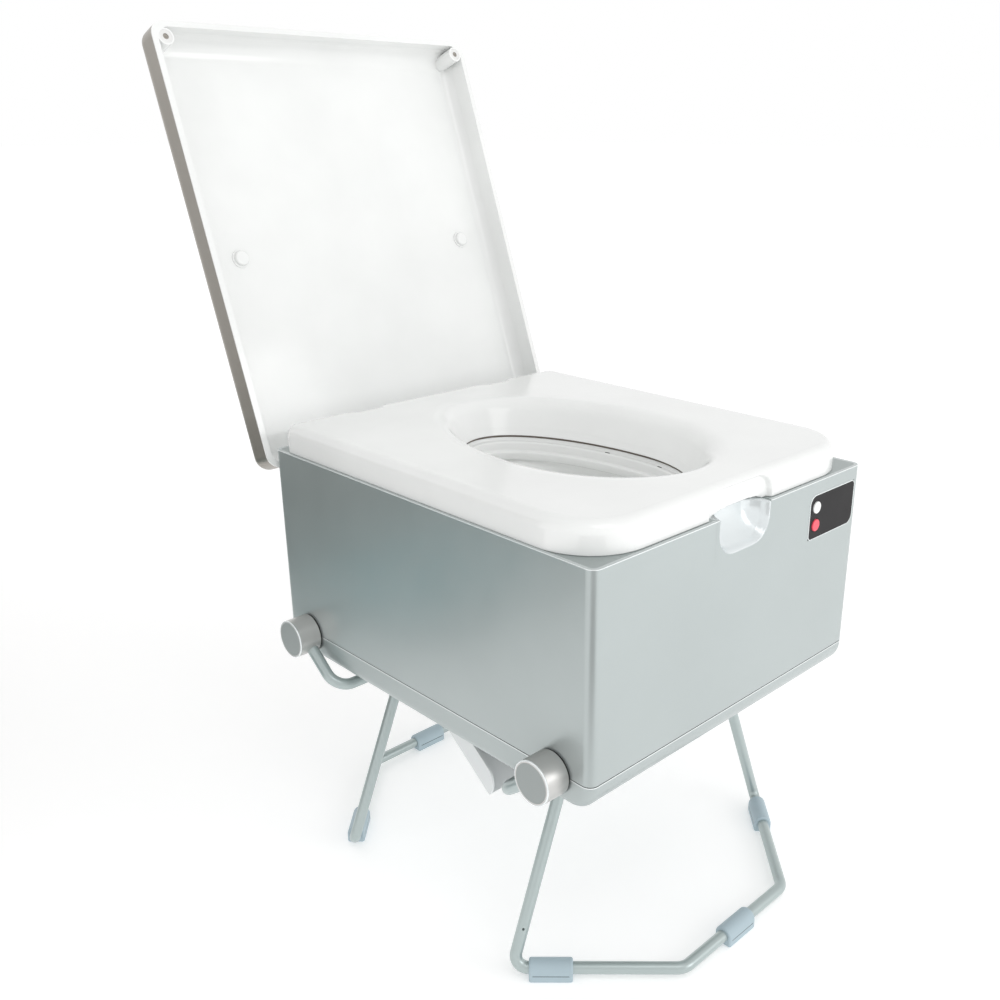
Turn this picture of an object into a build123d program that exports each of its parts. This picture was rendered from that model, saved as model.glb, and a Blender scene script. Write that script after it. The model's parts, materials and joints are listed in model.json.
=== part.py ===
from build123d import *
import math
import os

os.makedirs("parts", exist_ok=True)

# The pieces are drawn about a point on the floor under the middle of the casing. X runs
# to the right as seen from the front, Y from the front to the back, and Z up. Lengths
# are millimetres. The finished pieces are moved so that the origin lies on the floor
# under the middle of the whole object as it stands with its lid open.
origin_back = 78

# Casing and base
body_width = 390
body_depth = 454
rim_height = 449
seam_height = 255
tray_height = 28
corner_radius = 9
sheet = 1.5
tray_wall = 2.5
tray_end_radius = 25
seam_gap = 0.8
trim_width = 2.5
trim_height = 8
deck_thickness = 2.5
fit_gap = 0.1
move_gap = 0.3
running_gap = 0.05

half_width = body_width / 2
half_depth = body_depth / 2
base_bottom = seam_height - tray_height
tray_floor = base_bottom + tray_wall

# Heights and lengths of cuts that run out past what they open
open_cut = 100
past_cut = 20

# Oval of the bowl: a front and a rear half ellipse that meet on one cross line
oval_line_y = -40
bore_half_width = 80
bore_front = 108
bore_rear = 170

# Lid, given as it lies closed over the casing
lid_side_overhang = 6.8
lid_front_overhang = 2.5
lid_rear_overhang = 5
lid_depth = 37
lid_floor_depth = 33.5
lid_corner_radius = 15
lid_edge_radius = 14
lid_skin = 1.5
lid_rim_flange = 1.5
lid_wall = 6
lid_rear_wall = 4
lid_floor_radius = 13
lid_front_floor_radius = 21
lid_open_angle = 109.67
post_radius = 8.5
post_side_inset = 14.2
post_front_inset = 16
magnet_radius = 6.5
magnet_thickness = 3
bumper_side_inset = 42.5
bumper_y = 6
bumper_radius = 10
bumper_base = 1.2
bumper_step = 2

# Hinge that the lid and the seat share
hinge_rear_inset = 5
hinge_drop = 9
hinge_side_inset = 103
hinge_pin_radius = 2
barrel_radius = 5
hinge_notch_width = 42
hinge_notch_drop = 9.5
hinge_notch_radius = 2

hinge_y = half_depth - hinge_rear_inset
hinge_z = rim_height - hinge_drop
hinge_x = half_width - hinge_side_inset
hinge_notch_bottom = hinge_z - hinge_notch_drop

# Seat
seat_side_inset = 5
seat_front_inset = 5
seat_rear_inset = 13
seat_height = 28.2
seat_front_radius = 42
seat_rear_radius = 14
seat_edge_radius = 11
seat_wall = 4
seat_skirt_depth = 8
seat_notch_reach = 8
seat_notch_radius = 4
seat_bowl_wall = 30

seat_half_width = half_width - seat_side_inset
seat_front = half_depth - seat_front_inset
seat_rear = half_depth - seat_rear_inset

# Finger scoop and lift tab
scoop_half_width = 38
scoop_depth_below_rim = 36.5
scoop_reach = 20
scoop_radius = 12
scoop_wall = 2.5
scoop_top_drop = 0.5
tab_half_width = 45
tab_recess = 5
tab_height = 23
tab_radius = 14
finger_gap = 9
finger_gap_inset = 3
finger_gap_radius = 7

# Control panel
panel_side_inset = 11
panel_width = 78
panel_top_below_rim = 14
panel_height = 44.5
panel_big_radius = 9
panel_small_radius = 3
button_inset = 10.7
white_button_drop = 12.5
red_button_drop = 30.6
button_radius = 6
button_proud = 1.3
button_travel = 1.5
button_edge_radius = 0.8
button_stem_radius = 2
button_stem = 4

# Folding legs
tube_radius = 6
leg_axis_inset = 43
leg_axis_drop = 1
arm_out = 10
run_inward = 56.5
run_drop = 16.5
knee_inset = 78
foot_corner_out = 2.3
foot_corner_inward = 53
foot_nose_half_width = 81.5
foot_nose_reach = 63.65
foot_height = 10.6
arm_bend = 20
knee_bend = 16
corner_bend = 12
nose_bend = 18
hub_radius = 20.3
hub_length = 24.5
hub_chamfer = 1.2
hub_socket_depth = 12
hub_disc_radius = 18
hub_disc_thickness = 1.5
washer_radius = 22
washer_thickness = 1.5
pivot_radius = 8
pivot_reach = 17.2
pivot_bracket_depth = 27
pivot_bracket_half_length = 16
pivot_bracket_below = 16
pivot_bracket_above = 20
pivot_bracket_radius = 4
stop_pad_inset = 35
stop_pad_length = 26
stop_pad_width = 16
stop_pad_radius = 3
clip_length = 42
clip_half_width = 9.5
clip_sole_radius = 2.5
clip_end_radius = 2
clip_fraction = 0.225
weep_hole_radius = 1.25
weep_hole_fraction = 0.8

leg_axis_y = half_depth - leg_axis_inset
leg_axis_z = seam_height - leg_axis_drop
arm_x = half_width + arm_out
run_y = leg_axis_y - run_inward
run_z = base_bottom - run_drop
knee_x = half_width - knee_inset
foot_corner = (half_width + foot_corner_out, leg_axis_y - foot_corner_inward)
foot_nose = (foot_nose_half_width, leg_axis_y + foot_nose_reach)

# Discharge flap
flap_side_inset = 38
flap_hinge_y = 44
flap_length = 131
flap_sheet = 2.7
flap_cheek_height = 23
flap_cheek_sheet = 2.2
flap_nose_radius = 21
flap_open_angle = 37.8
flap_pin_radius = 2.5
flap_barrel_radius = 5
flap_window_gap = 2.5
flap_ear_gap = 1
flap_ear_sheet = 6
flap_ear_foot = 20

flap_half_width = half_width - flap_side_inset
flap_axis_z = base_bottom + flap_barrel_radius
flap_ear_x = flap_half_width + flap_ear_gap

# Sealing unit
film_gap = 0.9
jaw_above_base = 41
jaw_height = 24
jaw_open = 14
jaw_end_gap = 5
rod_end_gap = 10
rod_radius = 4
screw_radius = 5
seal_end_gap = 22
frame_side_gap = 23
frame_plate = 3
frame_front = -100
frame_rear = 30
screw_gear_radius = 18
pinion_radius = 6
gear_thickness = 8

jaw_low = base_bottom + jaw_above_base
jaw_high = jaw_low + jaw_height
frame_half_width = half_width - frame_side_gap
jaw_half_length = frame_half_width - jaw_end_gap
rod_x = frame_half_width - rod_end_gap
seal_half_length = frame_half_width - seal_end_gap


def oval(height, grow_half_width, grow_front, grow_rear):
    """The bowl's oval at a height, grown on its sides, front and rear."""
    wide = bore_half_width + grow_half_width
    with BuildSketch(Plane.XY.offset(height)) as face:
        with BuildLine():
            EllipticalCenterArc((0, oval_line_y), wide, bore_front + grow_front, 180, arc_size=180)
            EllipticalCenterArc((0, oval_line_y), wide, bore_rear + grow_rear, 0, arc_size=180)
        make_face()
    return face.sketch


def even_oval(height, grow):
    """The bowl's oval at a height, grown alike all round."""
    return oval(height, grow, grow, grow)


def hinge_plane(point_y, point_z, angle):
    """The frame's XY plane, turned with a body about an X axis through a point."""
    c = math.cos(math.radians(angle))
    s = math.sin(math.radians(angle))
    origin = (0, point_y - c * point_y + s * point_z, point_z - s * point_y - c * point_z)
    return Plane(origin=origin, x_dir=(1, 0, 0), z_dir=(0, -s, c))


def save(part, name):
    """Write a finished piece under its own name, moved to the origin of the whole object."""
    placed = part.moved(Location((0, -origin_back, 0)))
    placed.label = name
    export_step(placed, f"parts/{name}.step")


front_face = Plane.XZ.offset(half_depth)

# Outer casing: a wrapped sheet with windows for the scoop, the panel and the inlet
casing_bottom = seam_height + seam_gap / 2
panel_left = half_width - panel_side_inset - panel_width
panel_centre_x = panel_left + panel_width / 2
panel_centre_z = rim_height - panel_top_below_rim - panel_height / 2
inlet_side_inset = 55
inlet_above_seam = 45
inlet_radius = 7
inlet_x = half_width - inlet_side_inset
inlet_z = seam_height + inlet_above_seam


def scoop_outline(front, grow):
    """The scoop's rounded outline, open at its top, at a distance in front of the middle."""
    with BuildSketch(Plane.XZ.offset(front)) as face:
        with Locations((0, rim_height - scoop_depth_below_rim + open_cut / 2)):
            RectangleRounded(2 * (scoop_half_width + grow), open_cut + 2 * grow, scoop_radius + grow)
    return face.sketch


def panel_outline(grow):
    """The panel's rounded outline, with two large and two small corners."""
    with BuildSketch(front_face) as face:
        with Locations((panel_centre_x, panel_centre_z)):
            Rectangle(panel_width + 2 * grow, panel_height + 2 * grow)
        corners = face.vertices().sort_by(Axis.X)
        left = corners[:2].sort_by(Axis.Y)
        right = corners[2:].sort_by(Axis.Y)
        fillet([left[1], right[0]], panel_big_radius + grow)
        fillet([left[0], right[1]], panel_small_radius + grow)
    return face.sketch


with BuildPart() as outer_casing:
    with BuildSketch(Plane.XY.offset(casing_bottom)):
        RectangleRounded(body_width, body_depth, corner_radius)
        RectangleRounded(
            body_width - 2 * sheet,
            body_depth - 2 * sheet,
            corner_radius - sheet,
            mode=Mode.SUBTRACT,
        )
    extrude(amount=rim_height - casing_bottom)
    extrude(scoop_outline(half_depth, 0), amount=-2 * sheet, mode=Mode.SUBTRACT)
    extrude(panel_outline(fit_gap), amount=-2 * sheet, mode=Mode.SUBTRACT)
    with BuildSketch(Plane.XZ.offset(-half_depth)):
        for side in (-1, 1):
            with Locations((side * hinge_x, hinge_notch_bottom + open_cut / 2)):
                RectangleRounded(hinge_notch_width, open_cut, hinge_notch_radius)
        with Locations((inlet_x, inlet_z)):
            Circle(inlet_radius)
    extrude(amount=2 * sheet, mode=Mode.SUBTRACT)
    with BuildSketch(Plane.YZ.offset(-half_width)):
        for end in (-1, 1):
            with Locations((end * leg_axis_y, leg_axis_z)):
                Circle(pivot_radius + move_gap)
    extrude(amount=body_width, mode=Mode.SUBTRACT)
save(outer_casing.part, "outer_casing")

# Rim trim: a white strip inside the casing's top edge
trim_outer_width = body_width - 2 * sheet
trim_outer_depth = body_depth - 2 * sheet
scoop_opening = 2 * (scoop_half_width + scoop_wall)
with BuildPart() as rim_trim:
    with BuildSketch(Plane.XY.offset(rim_height - trim_height)):
        RectangleRounded(trim_outer_width, trim_outer_depth, corner_radius - sheet)
        RectangleRounded(
            trim_outer_width - 2 * trim_width,
            trim_outer_depth - 2 * trim_width,
            corner_radius - sheet - trim_width,
            mode=Mode.SUBTRACT,
        )
        with Locations((0, -half_depth)):
            Rectangle(scoop_opening, past_cut, mode=Mode.SUBTRACT)
        for side in (-1, 1):
            with Locations((side * hinge_x, half_depth)):
                Rectangle(hinge_notch_width, past_cut, mode=Mode.SUBTRACT)
    extrude(amount=trim_height)
save(rim_trim.part, "rim_trim")

# Seam strip: the dark gasket between the casing and the base tray
seam_inset = 0.5
with BuildPart() as seam_strip:
    with BuildSketch(Plane.XY.offset(seam_height - seam_gap / 2)):
        RectangleRounded(
            body_width - 2 * seam_inset, body_depth - 2 * seam_inset, corner_radius - seam_inset
        )
        RectangleRounded(
            body_width - 2 * tray_wall,
            body_depth - 2 * tray_wall,
            corner_radius - tray_wall,
            mode=Mode.SUBTRACT,
        )
        for end in (-1, 1):
            with Locations((0, end * leg_axis_y)):
                Rectangle(body_width, 2 * (pivot_radius + move_gap), mode=Mode.SUBTRACT)
    extrude(amount=seam_gap)
save(seam_strip.part, "seam_strip")


# Base tray: a pan with rolled front and rear ends and a discharge window
tray_end_roll = min(tray_end_radius, tray_height - seam_gap)


def tray_block(inset):
    """The tray's outer form, or its cavity when inset by the wall."""
    with BuildPart() as block:
        with BuildSketch(Plane.YZ.offset(inset - half_width)) as side:
            low = base_bottom + inset
            high = seam_height - seam_gap / 2 + inset
            with Locations((0, (low + high) / 2)):
                Rectangle(body_depth - 2 * inset, high - low)
            fillet(side.vertices().group_by(Axis.Y)[0], tray_end_roll - inset)
        extrude(amount=body_width - 2 * inset)
        rim_faces = block.faces().filter_by(Axis.X)
        rolled = [e for f in rim_faces for e in f.edges() if e.center().Z < high - 0.01]
        fillet(rolled, corner_radius - inset)
    return block.part


window_front = flap_hinge_y - flap_length - flap_window_gap
window_rear = flap_hinge_y + flap_barrel_radius + 1
with BuildPart() as base_tray:
    add(tray_block(0))
    add(tray_block(tray_wall), mode=Mode.SUBTRACT)
    with BuildSketch(Plane.XY.offset(base_bottom - 1)):
        with Locations((0, (window_front + window_rear) / 2)):
            Rectangle(2 * (flap_half_width + flap_window_gap), window_rear - window_front)
    extrude(amount=tray_wall + 2, mode=Mode.SUBTRACT)
    for side in (-1, 1):
        with BuildSketch(Plane.YZ.offset(side * flap_ear_x)):
            with Locations((flap_hinge_y, flap_axis_z)):
                Circle(flap_barrel_radius)
            with Locations((flap_hinge_y, tray_floor - 1)):
                Rectangle(flap_ear_foot, 1)
            make_hull()
            with Locations((flap_hinge_y, flap_axis_z)):
                Circle(flap_pin_radius, mode=Mode.SUBTRACT)
        extrude(amount=side * flap_ear_sheet)
    with BuildSketch(Plane.YZ.offset(-half_width)):
        for end in (-1, 1):
            with Locations((end * leg_axis_y, leg_axis_z)):
                Circle(pivot_radius + move_gap)
    extrude(amount=body_width, mode=Mode.SUBTRACT)
save(base_tray.part, "base_tray")

# Top deck: the plate under the seat, with the collar that the film cassette drops into
cassette_grow = 20
cassette_fit = 1
collar_wall = 3
collar_depth = 37
ledge_thickness = 3
ledge_grow = 8
collar_bottom = rim_height - collar_depth
deck_width = trim_outer_width - 2 * trim_width - 2 * fit_gap
deck_depth = trim_outer_depth - 2 * trim_width - 2 * fit_gap
deck_bottom = rim_height - deck_thickness
deck_notch_depth = 30
deck_scoop_gap = 3.5
with BuildPart() as top_deck:
    with BuildSketch(Plane.XY.offset(deck_bottom)):
        RectangleRounded(deck_width, deck_depth, corner_radius - sheet - trim_width)
        with Locations((0, -half_depth)):
            Rectangle(
                scoop_opening, 2 * (sheet + scoop_reach + deck_scoop_gap), mode=Mode.SUBTRACT
            )
        for side in (-1, 1):
            with Locations((side * hinge_x, half_depth)):
                Rectangle(hinge_notch_width, 2 * deck_notch_depth, mode=Mode.SUBTRACT)
    extrude(amount=deck_thickness)
    collar_grow = cassette_grow + cassette_fit
    extrude(even_oval(collar_bottom, collar_grow + collar_wall), amount=deck_bottom - collar_bottom)
    extrude(
        even_oval(collar_bottom + ledge_thickness, collar_grow),
        amount=rim_height,
        mode=Mode.SUBTRACT,
    )
    extrude(even_oval(collar_bottom - 1, ledge_grow), amount=rim_height, mode=Mode.SUBTRACT)
save(top_deck.part, "top_deck")

# Film cassette: the ring that carries the folded film, with snap slots in its top
cassette_gap = 3.3
cassette_lip = -4
cassette_bevel = 6
snap_slot = (3, 9, 5)
snap_rear = (60, 40)
snap_front = (66, -62)
cassette_top = rim_height + move_gap - seat_skirt_depth - cassette_gap
cassette_bottom = collar_bottom + ledge_thickness
with BuildPart() as film_cassette:
    extrude(even_oval(cassette_bottom, cassette_grow), amount=cassette_top - cassette_bottom)
    extrude(even_oval(cassette_bottom - 1, cassette_lip), amount=cassette_top, mode=Mode.SUBTRACT)
    loft(
        sections=[
            even_oval(cassette_top - cassette_bevel, cassette_lip),
            even_oval(cassette_top, cassette_lip + cassette_bevel),
        ],
        mode=Mode.SUBTRACT,
    )
    for side in (-1, 1):
        for x, y in (snap_rear, snap_front):
            with Locations((side * x, y, cassette_top)):
                Box(*snap_slot, mode=Mode.SUBTRACT)
save(film_cassette.part, "film_cassette")

# Bowl funnel: narrows from the oval under the deck to the slot above the jaws
funnel_top = collar_bottom
funnel_above_jaws = 26
funnel_wall = 2.5
funnel_mouth_grow = 16
funnel_slot_half_gap = 30
film_mouth = -2
film_sheet = 0.6
film_above_jaws = 8
film_side_gap = 4
film_front_gap = 3
film_top = cassette_bottom
film_flat_top = jaw_high + film_above_jaws
film_half_width = seal_half_length - 2
funnel_bottom = jaw_high + funnel_above_jaws
funnel_half_width = film_half_width + film_side_gap

# The slot's front clears the film, which slopes back from its mouth to the jaws
film_rise = (funnel_bottom - film_flat_top) / (film_top - film_flat_top)
film_mouth_reach = bore_front + film_mouth - oval_line_y
film_reach = 2 * film_sheet + film_rise * (film_mouth_reach - 2 * film_sheet)
funnel_half_gap = max(funnel_slot_half_gap, film_reach + film_front_gap)


def slot_face(height, half_length, half_gap):
    """A flat slot across the casing, as the two halves of an ellipse."""
    with BuildSketch(Plane.XY.offset(height)) as face:
        with BuildLine():
            EllipticalCenterArc((0, 0), half_length, half_gap, 180, arc_size=180)
            EllipticalCenterArc((0, 0), half_length, half_gap, 0, arc_size=180)
        make_face()
    return face.sketch


with BuildPart() as bowl_funnel:
    loft(
        sections=[
            even_oval(funnel_top, funnel_mouth_grow),
            slot_face(funnel_bottom, funnel_half_width + funnel_wall, funnel_half_gap + funnel_wall),
        ],
        ruled=True,
    )
    loft(
        sections=[
            even_oval(funnel_top, funnel_mouth_grow - funnel_wall),
            slot_face(funnel_bottom, funnel_half_width, funnel_half_gap),
        ],
        ruled=True,
        mode=Mode.SUBTRACT,
    )
save(bowl_funnel.part, "bowl_funnel")

# Film liner: the bag that hangs in the bowl and is drawn flat between the jaws
film_fold = 6
film_below_jaws = 24
film_bottom = jaw_low - film_below_jaws
with BuildPart() as film_liner:
    loft(
        sections=[
            even_oval(film_top, film_mouth),
            slot_face(film_flat_top, film_half_width, 2 * film_sheet),
        ],
        ruled=True,
    )
    loft(
        sections=[
            even_oval(film_top, film_mouth - film_sheet),
            slot_face(film_flat_top + film_fold, film_half_width - film_side_gap, film_sheet),
        ],
        ruled=True,
        mode=Mode.SUBTRACT,
    )
    with BuildSketch(Plane.XY.offset(film_bottom)):
        Rectangle(2 * (film_half_width - film_side_gap), 2 * film_sheet)
    extrude(amount=film_flat_top - film_bottom)
save(film_liner.part, "film_liner")

# Finger scoop: a cup behind the casing's front window
scoop_mouth = half_depth - sheet
with BuildPart() as finger_scoop:
    extrude(scoop_outline(scoop_mouth, scoop_wall), amount=-scoop_reach - scoop_wall)
    extrude(scoop_outline(scoop_mouth, 0), amount=-scoop_reach, mode=Mode.SUBTRACT)
    split(bisect_by=Plane.XY.offset(rim_height - scoop_top_drop), keep=Keep.BOTTOM)
save(finger_scoop.part, "finger_scoop")

# Control panel: a near-black insert that fills its window, with two button bores
button_x = panel_left + button_inset
white_button_z = rim_height - panel_top_below_rim - white_button_drop
red_button_z = rim_height - panel_top_below_rim - red_button_drop
panel_proud = 0.4
panel_flange = 2
panel_flange_margin = 2
button_hole_gap = 0.35
with BuildPart() as control_panel:
    extrude(panel_outline(0), amount=panel_proud)
    extrude(panel_outline(0), amount=-sheet)
    with BuildSketch(Plane.XZ.offset(half_depth - sheet)):
        with Locations((panel_centre_x, panel_centre_z)):
            RectangleRounded(
                panel_width + 2 * panel_flange_margin,
                panel_height + 2 * panel_flange_margin,
                panel_small_radius,
            )
    extrude(amount=-panel_flange)
    with BuildSketch(Plane.XZ.offset(half_depth + panel_proud)):
        with Locations((button_x, white_button_z), (button_x, red_button_z)):
            Circle(button_radius + button_hole_gap)
    extrude(amount=-2 * (sheet + panel_flange), mode=Mode.SUBTRACT)
save(control_panel.part, "control_panel")

# Push buttons: a domed cap in the bore, with a flange that keeps it behind the panel
panel_back = half_depth - sheet - panel_flange
button_flange_radius = 8
button_flange = 1.5


def push_button(height):
    """One button, its cap towards the front, at a height on the panel."""
    with BuildPart() as button:
        with BuildSketch(Plane.XZ.offset(half_depth + panel_proud + button_proud)):
            with Locations((button_x, height)):
                Circle(button_radius)
        extrude(amount=-(panel_proud + button_proud + half_depth - panel_back + move_gap))
        cap_edge = button.faces().sort_by(Axis.Y)[0].edges()
        fillet(cap_edge, button_edge_radius)
        with BuildSketch(Plane.XZ.offset(panel_back - move_gap)):
            with Locations((button_x, height)):
                Circle(button_flange_radius)
        extrude(amount=-button_flange)
        with BuildSketch(Plane.XZ.offset(panel_back - move_gap - button_flange)):
            with Locations((button_x, height)):
                Circle(button_stem_radius)
        extrude(amount=-button_stem)
    return button.part


save(push_button(white_button_z), "white_button")
save(push_button(red_button_z), "red_button")

# Control board: carries the two switches that the buttons press
switch_front = panel_back - move_gap - button_flange - button_stem - button_travel - move_gap
switch_height = 5
switch_width = 6
board_thickness = 1.6
board_side_inset = 2
board_end_inset = 1
post_side_margin = 5
post_end_margin = 4
board_post_radius = 2.2
with BuildPart() as control_board:
    with BuildSketch(Plane.XZ.offset(switch_front - switch_height)):
        with Locations((panel_centre_x, panel_centre_z)):
            Rectangle(panel_width - 2 * board_side_inset, panel_height - 2 * board_end_inset)
    extrude(amount=-board_thickness)
    with BuildSketch(Plane.XZ.offset(switch_front)):
        with Locations((button_x, white_button_z), (button_x, red_button_z)):
            Rectangle(switch_width, switch_width)
    extrude(amount=-switch_height)
    with BuildSketch(Plane.XZ.offset(panel_back)):
        with Locations((panel_centre_x, panel_centre_z)):
            post_span = (panel_width - 2 * post_side_margin, panel_height - 2 * post_end_margin)
            with GridLocations(*post_span, 2, 2):
                Circle(board_post_radius)
    extrude(amount=-(panel_back - switch_front + switch_height))
save(control_board.part, "control_board")

# Power inlet: a low-voltage socket in the rear wall, bare of its cord
inlet_flange = 1.2
inlet_flange_margin = 3
inlet_length = 20
socket_radius = 3.2
socket_depth = 11
contact_radius = 1
with BuildPart() as power_inlet:
    with BuildSketch(Plane.XZ.offset(-half_depth - inlet_flange)):
        with Locations((inlet_x, inlet_z)):
            Circle(inlet_radius + inlet_flange_margin)
    extrude(amount=inlet_flange)
    with BuildSketch(Plane.XZ.offset(-half_depth)):
        with Locations((inlet_x, inlet_z)):
            Circle(inlet_radius)
    extrude(amount=inlet_length)
    with BuildSketch(Plane.XZ.offset(-half_depth - inlet_flange)):
        with Locations((inlet_x, inlet_z)):
            Circle(socket_radius)
            Circle(contact_radius, mode=Mode.SUBTRACT)
    extrude(amount=socket_depth, mode=Mode.SUBTRACT)
save(power_inlet.part, "power_inlet")

# Hinge brackets and pins: two ears on a foot, one bracket each side
ear_out = (-19, -13.3)
lid_leaf_span = (-12.7, 1.3)
seat_lug_span = (1.9, 11.1)
ear_in = (11.7, 17.4)
bracket_top = hinge_notch_bottom - 0.5
bracket_foot = 4
bracket_foot_reach = 17
ear_root_width = 8
ear_root_height = 2
ear_root_forward = 2.5


def hinge_profile(side, span, inner=0):
    """A plane across the hinge axis at the start of a span, on one side."""
    start = side * hinge_x + (span[0] if side > 0 else -span[1])
    return Plane.YZ.offset(start + inner)


with BuildPart() as hinge_brackets:
    for side in (-1, 1):
        for span in (ear_out, ear_in):
            with BuildSketch(hinge_profile(side, span)):
                with Locations((hinge_y, hinge_z)):
                    Circle(barrel_radius)
                with Locations((hinge_y - ear_root_forward, bracket_top + ear_root_height / 2)):
                    Rectangle(ear_root_width, ear_root_height)
                make_hull()
                with Locations((hinge_y, hinge_z)):
                    Circle(hinge_pin_radius, mode=Mode.SUBTRACT)
            extrude(amount=span[1] - span[0])
        foot_plane = hinge_profile(side, (ear_out[0], ear_in[1]))
        foot_front = hinge_y - bracket_foot_reach
        foot_rear = half_depth - sheet
        with BuildSketch(foot_plane):
            with Locations(((foot_front + foot_rear) / 2, bracket_top - bracket_foot / 2)):
                Rectangle(foot_rear - foot_front, bracket_foot)
        extrude(amount=ear_in[1] - ear_out[0])
save(hinge_brackets.part, "hinge_brackets")

with BuildPart() as hinge_pins:
    for side in (-1, 1):
        with BuildSketch(hinge_profile(side, (ear_out[0], ear_in[1]))):
            with Locations((hinge_y, hinge_z)):
                Circle(hinge_pin_radius)
        extrude(amount=ear_in[1] - ear_out[0])
save(hinge_pins.part, "hinge_pins")

# Seat: a hollow moulding with a dished oval, a lift tab and two hinge lugs
seat_bottom = rim_height + move_gap
seat_top = seat_bottom + seat_height
seat_centre_y = (seat_rear - seat_front) / 2


def seat_outline(height, inset):
    """The seat's outline at a height, inset by a wall."""
    with BuildSketch(Plane.XY.offset(height)) as face:
        with Locations((0, seat_centre_y)):
            Rectangle(2 * (seat_half_width - inset), seat_front + seat_rear - 2 * inset)
        ends = face.vertices().group_by(Axis.Y)
        fillet(ends[0], seat_front_radius - inset)
        fillet(ends[-1], seat_rear_radius - inset)
    return face.sketch


def notch_blocks(margin):
    """Blocks that clear the hinges at the seat's rear, grown by a margin."""
    with BuildPart() as blocks:
        with BuildSketch(Plane.XY.offset(seat_bottom - 1)):
            for side in (-1, 1):
                with Locations((side * hinge_x, seat_rear)):
                    RectangleRounded(
                        hinge_notch_width + 2 * margin,
                        2 * (seat_notch_reach + margin),
                        seat_notch_radius + margin,
                    )
        extrude(amount=seat_height + 2)
    return blocks.part


def arch_block(reach, margin):
    """The rounded recess over the scoop, cut a reach into the seat's front."""
    with BuildPart() as block:
        with BuildSketch(Plane.XZ.offset(seat_front)):
            with Locations((0, seat_bottom)):
                RectangleRounded(
                    2 * (tab_half_width + margin), 2 * (tab_height + margin), tab_radius + margin
                )
        extrude(amount=-reach)
    return block.part


# The seat's hollow follows its outline, and leaves solid walls round the bowl, the hinge
# notches and the lift tab
with BuildPart() as seat_hollow:
    extrude(seat_outline(seat_bottom - 1, seat_wall), amount=seat_height - seat_wall + 1)
    fillet(seat_hollow.faces().sort_by(Axis.Z)[-1].edges(), seat_edge_radius - seat_wall)
    extrude(even_oval(seat_bottom - 1, seat_bowl_wall), amount=seat_height, mode=Mode.SUBTRACT)
    add(notch_blocks(seat_wall), mode=Mode.SUBTRACT)
    add(arch_block(tab_recess + seat_wall, seat_wall), mode=Mode.SUBTRACT)

with BuildPart() as seat:
    extrude(seat_outline(seat_bottom, 0), amount=seat_height)
    fillet(seat.faces().sort_by(Axis.Z)[-1].edges(), seat_edge_radius)
    add(notch_blocks(0), mode=Mode.SUBTRACT)
    skirt = even_oval(seat_bottom - seat_skirt_depth, seat_wall)
    extrude(skirt, amount=seat_skirt_depth)
    add(seat_hollow.part, mode=Mode.SUBTRACT)
    add(arch_block(tab_recess, 0), mode=Mode.SUBTRACT)
    with BuildSketch(Plane.XZ.offset(seat_front)):
        with Locations((0, seat_bottom)):
            RectangleRounded(
                2 * (tab_half_width - finger_gap_inset), 2 * finger_gap, finger_gap_radius
            )
    extrude(amount=-(tab_recess + 2 * seat_wall), mode=Mode.SUBTRACT)
    loft(
        sections=[
            oval(seat_bottom - seat_skirt_depth - 0.2, 0, 0, 0),
            oval(seat_bottom + 4, 8, 7, 5),
            oval(seat_bottom + 15, 15, 13, 11),
            oval(seat_bottom + 24, 22, 19, 17),
            oval(seat_top + 0.2, 31, 28, 25),
        ],
        mode=Mode.SUBTRACT,
    )
    for side in (-1, 1):
        with BuildSketch(hinge_profile(side, seat_lug_span)):
            with Locations((hinge_y, hinge_z)):
                Circle(barrel_radius)
            with Locations((seat_rear - seat_notch_reach - 4, seat_bottom + 1.5)):
                Rectangle(8, 3)
            make_hull()
        extrude(amount=seat_lug_span[1] - seat_lug_span[0])
        with BuildSketch(hinge_profile(side, seat_lug_span)):
            with Locations((hinge_y, hinge_z)):
                Circle(hinge_pin_radius + running_gap)
        extrude(amount=seat_lug_span[1] - seat_lug_span[0], mode=Mode.SUBTRACT)
save(seat.part, "seat")

# Lid: the outer skin and the white liner, drawn as if closed and placed open
lid_plane = hinge_plane(hinge_y, hinge_z, -lid_open_angle)
lid_rim_z = rim_height + move_gap
lid_half_width = half_width + lid_side_overhang
lid_front_y = -half_depth - lid_front_overhang
lid_rear_y = half_depth + lid_rear_overhang
lid_centre_y = (lid_front_y + lid_rear_y) / 2
lid_length = lid_rear_y - lid_front_y


def lid_face(height, inset):
    """The lid's rounded outline, a height above its rim, inset all round."""
    with BuildSketch(lid_plane.offset(lid_rim_z + height)) as face:
        with Locations((0, lid_centre_y)):
            RectangleRounded(
                2 * (lid_half_width - inset),
                lid_length - 2 * inset,
                lid_corner_radius - inset,
            )
    return face.sketch


with BuildPart() as lid_shell:
    extrude(lid_face(lid_rim_flange, 0), amount=lid_depth - lid_rim_flange)
    crown = lid_shell.faces().sort_by(Axis((0, 0, 0), lid_plane.z_dir))[-1]
    fillet(crown.edges(), lid_edge_radius)
    with BuildPart(mode=Mode.PRIVATE) as lid_hollow:
        extrude(lid_face(lid_rim_flange - 1, lid_skin), amount=lid_depth - lid_skin - lid_rim_flange + 1)
        hollow_crown = lid_hollow.faces().sort_by(Axis((0, 0, 0), lid_plane.z_dir))[-1]
        fillet(hollow_crown.edges(), lid_edge_radius - lid_skin)
    add(lid_hollow.part, mode=Mode.SUBTRACT)
save(lid_shell.part, "lid_shell")

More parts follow.
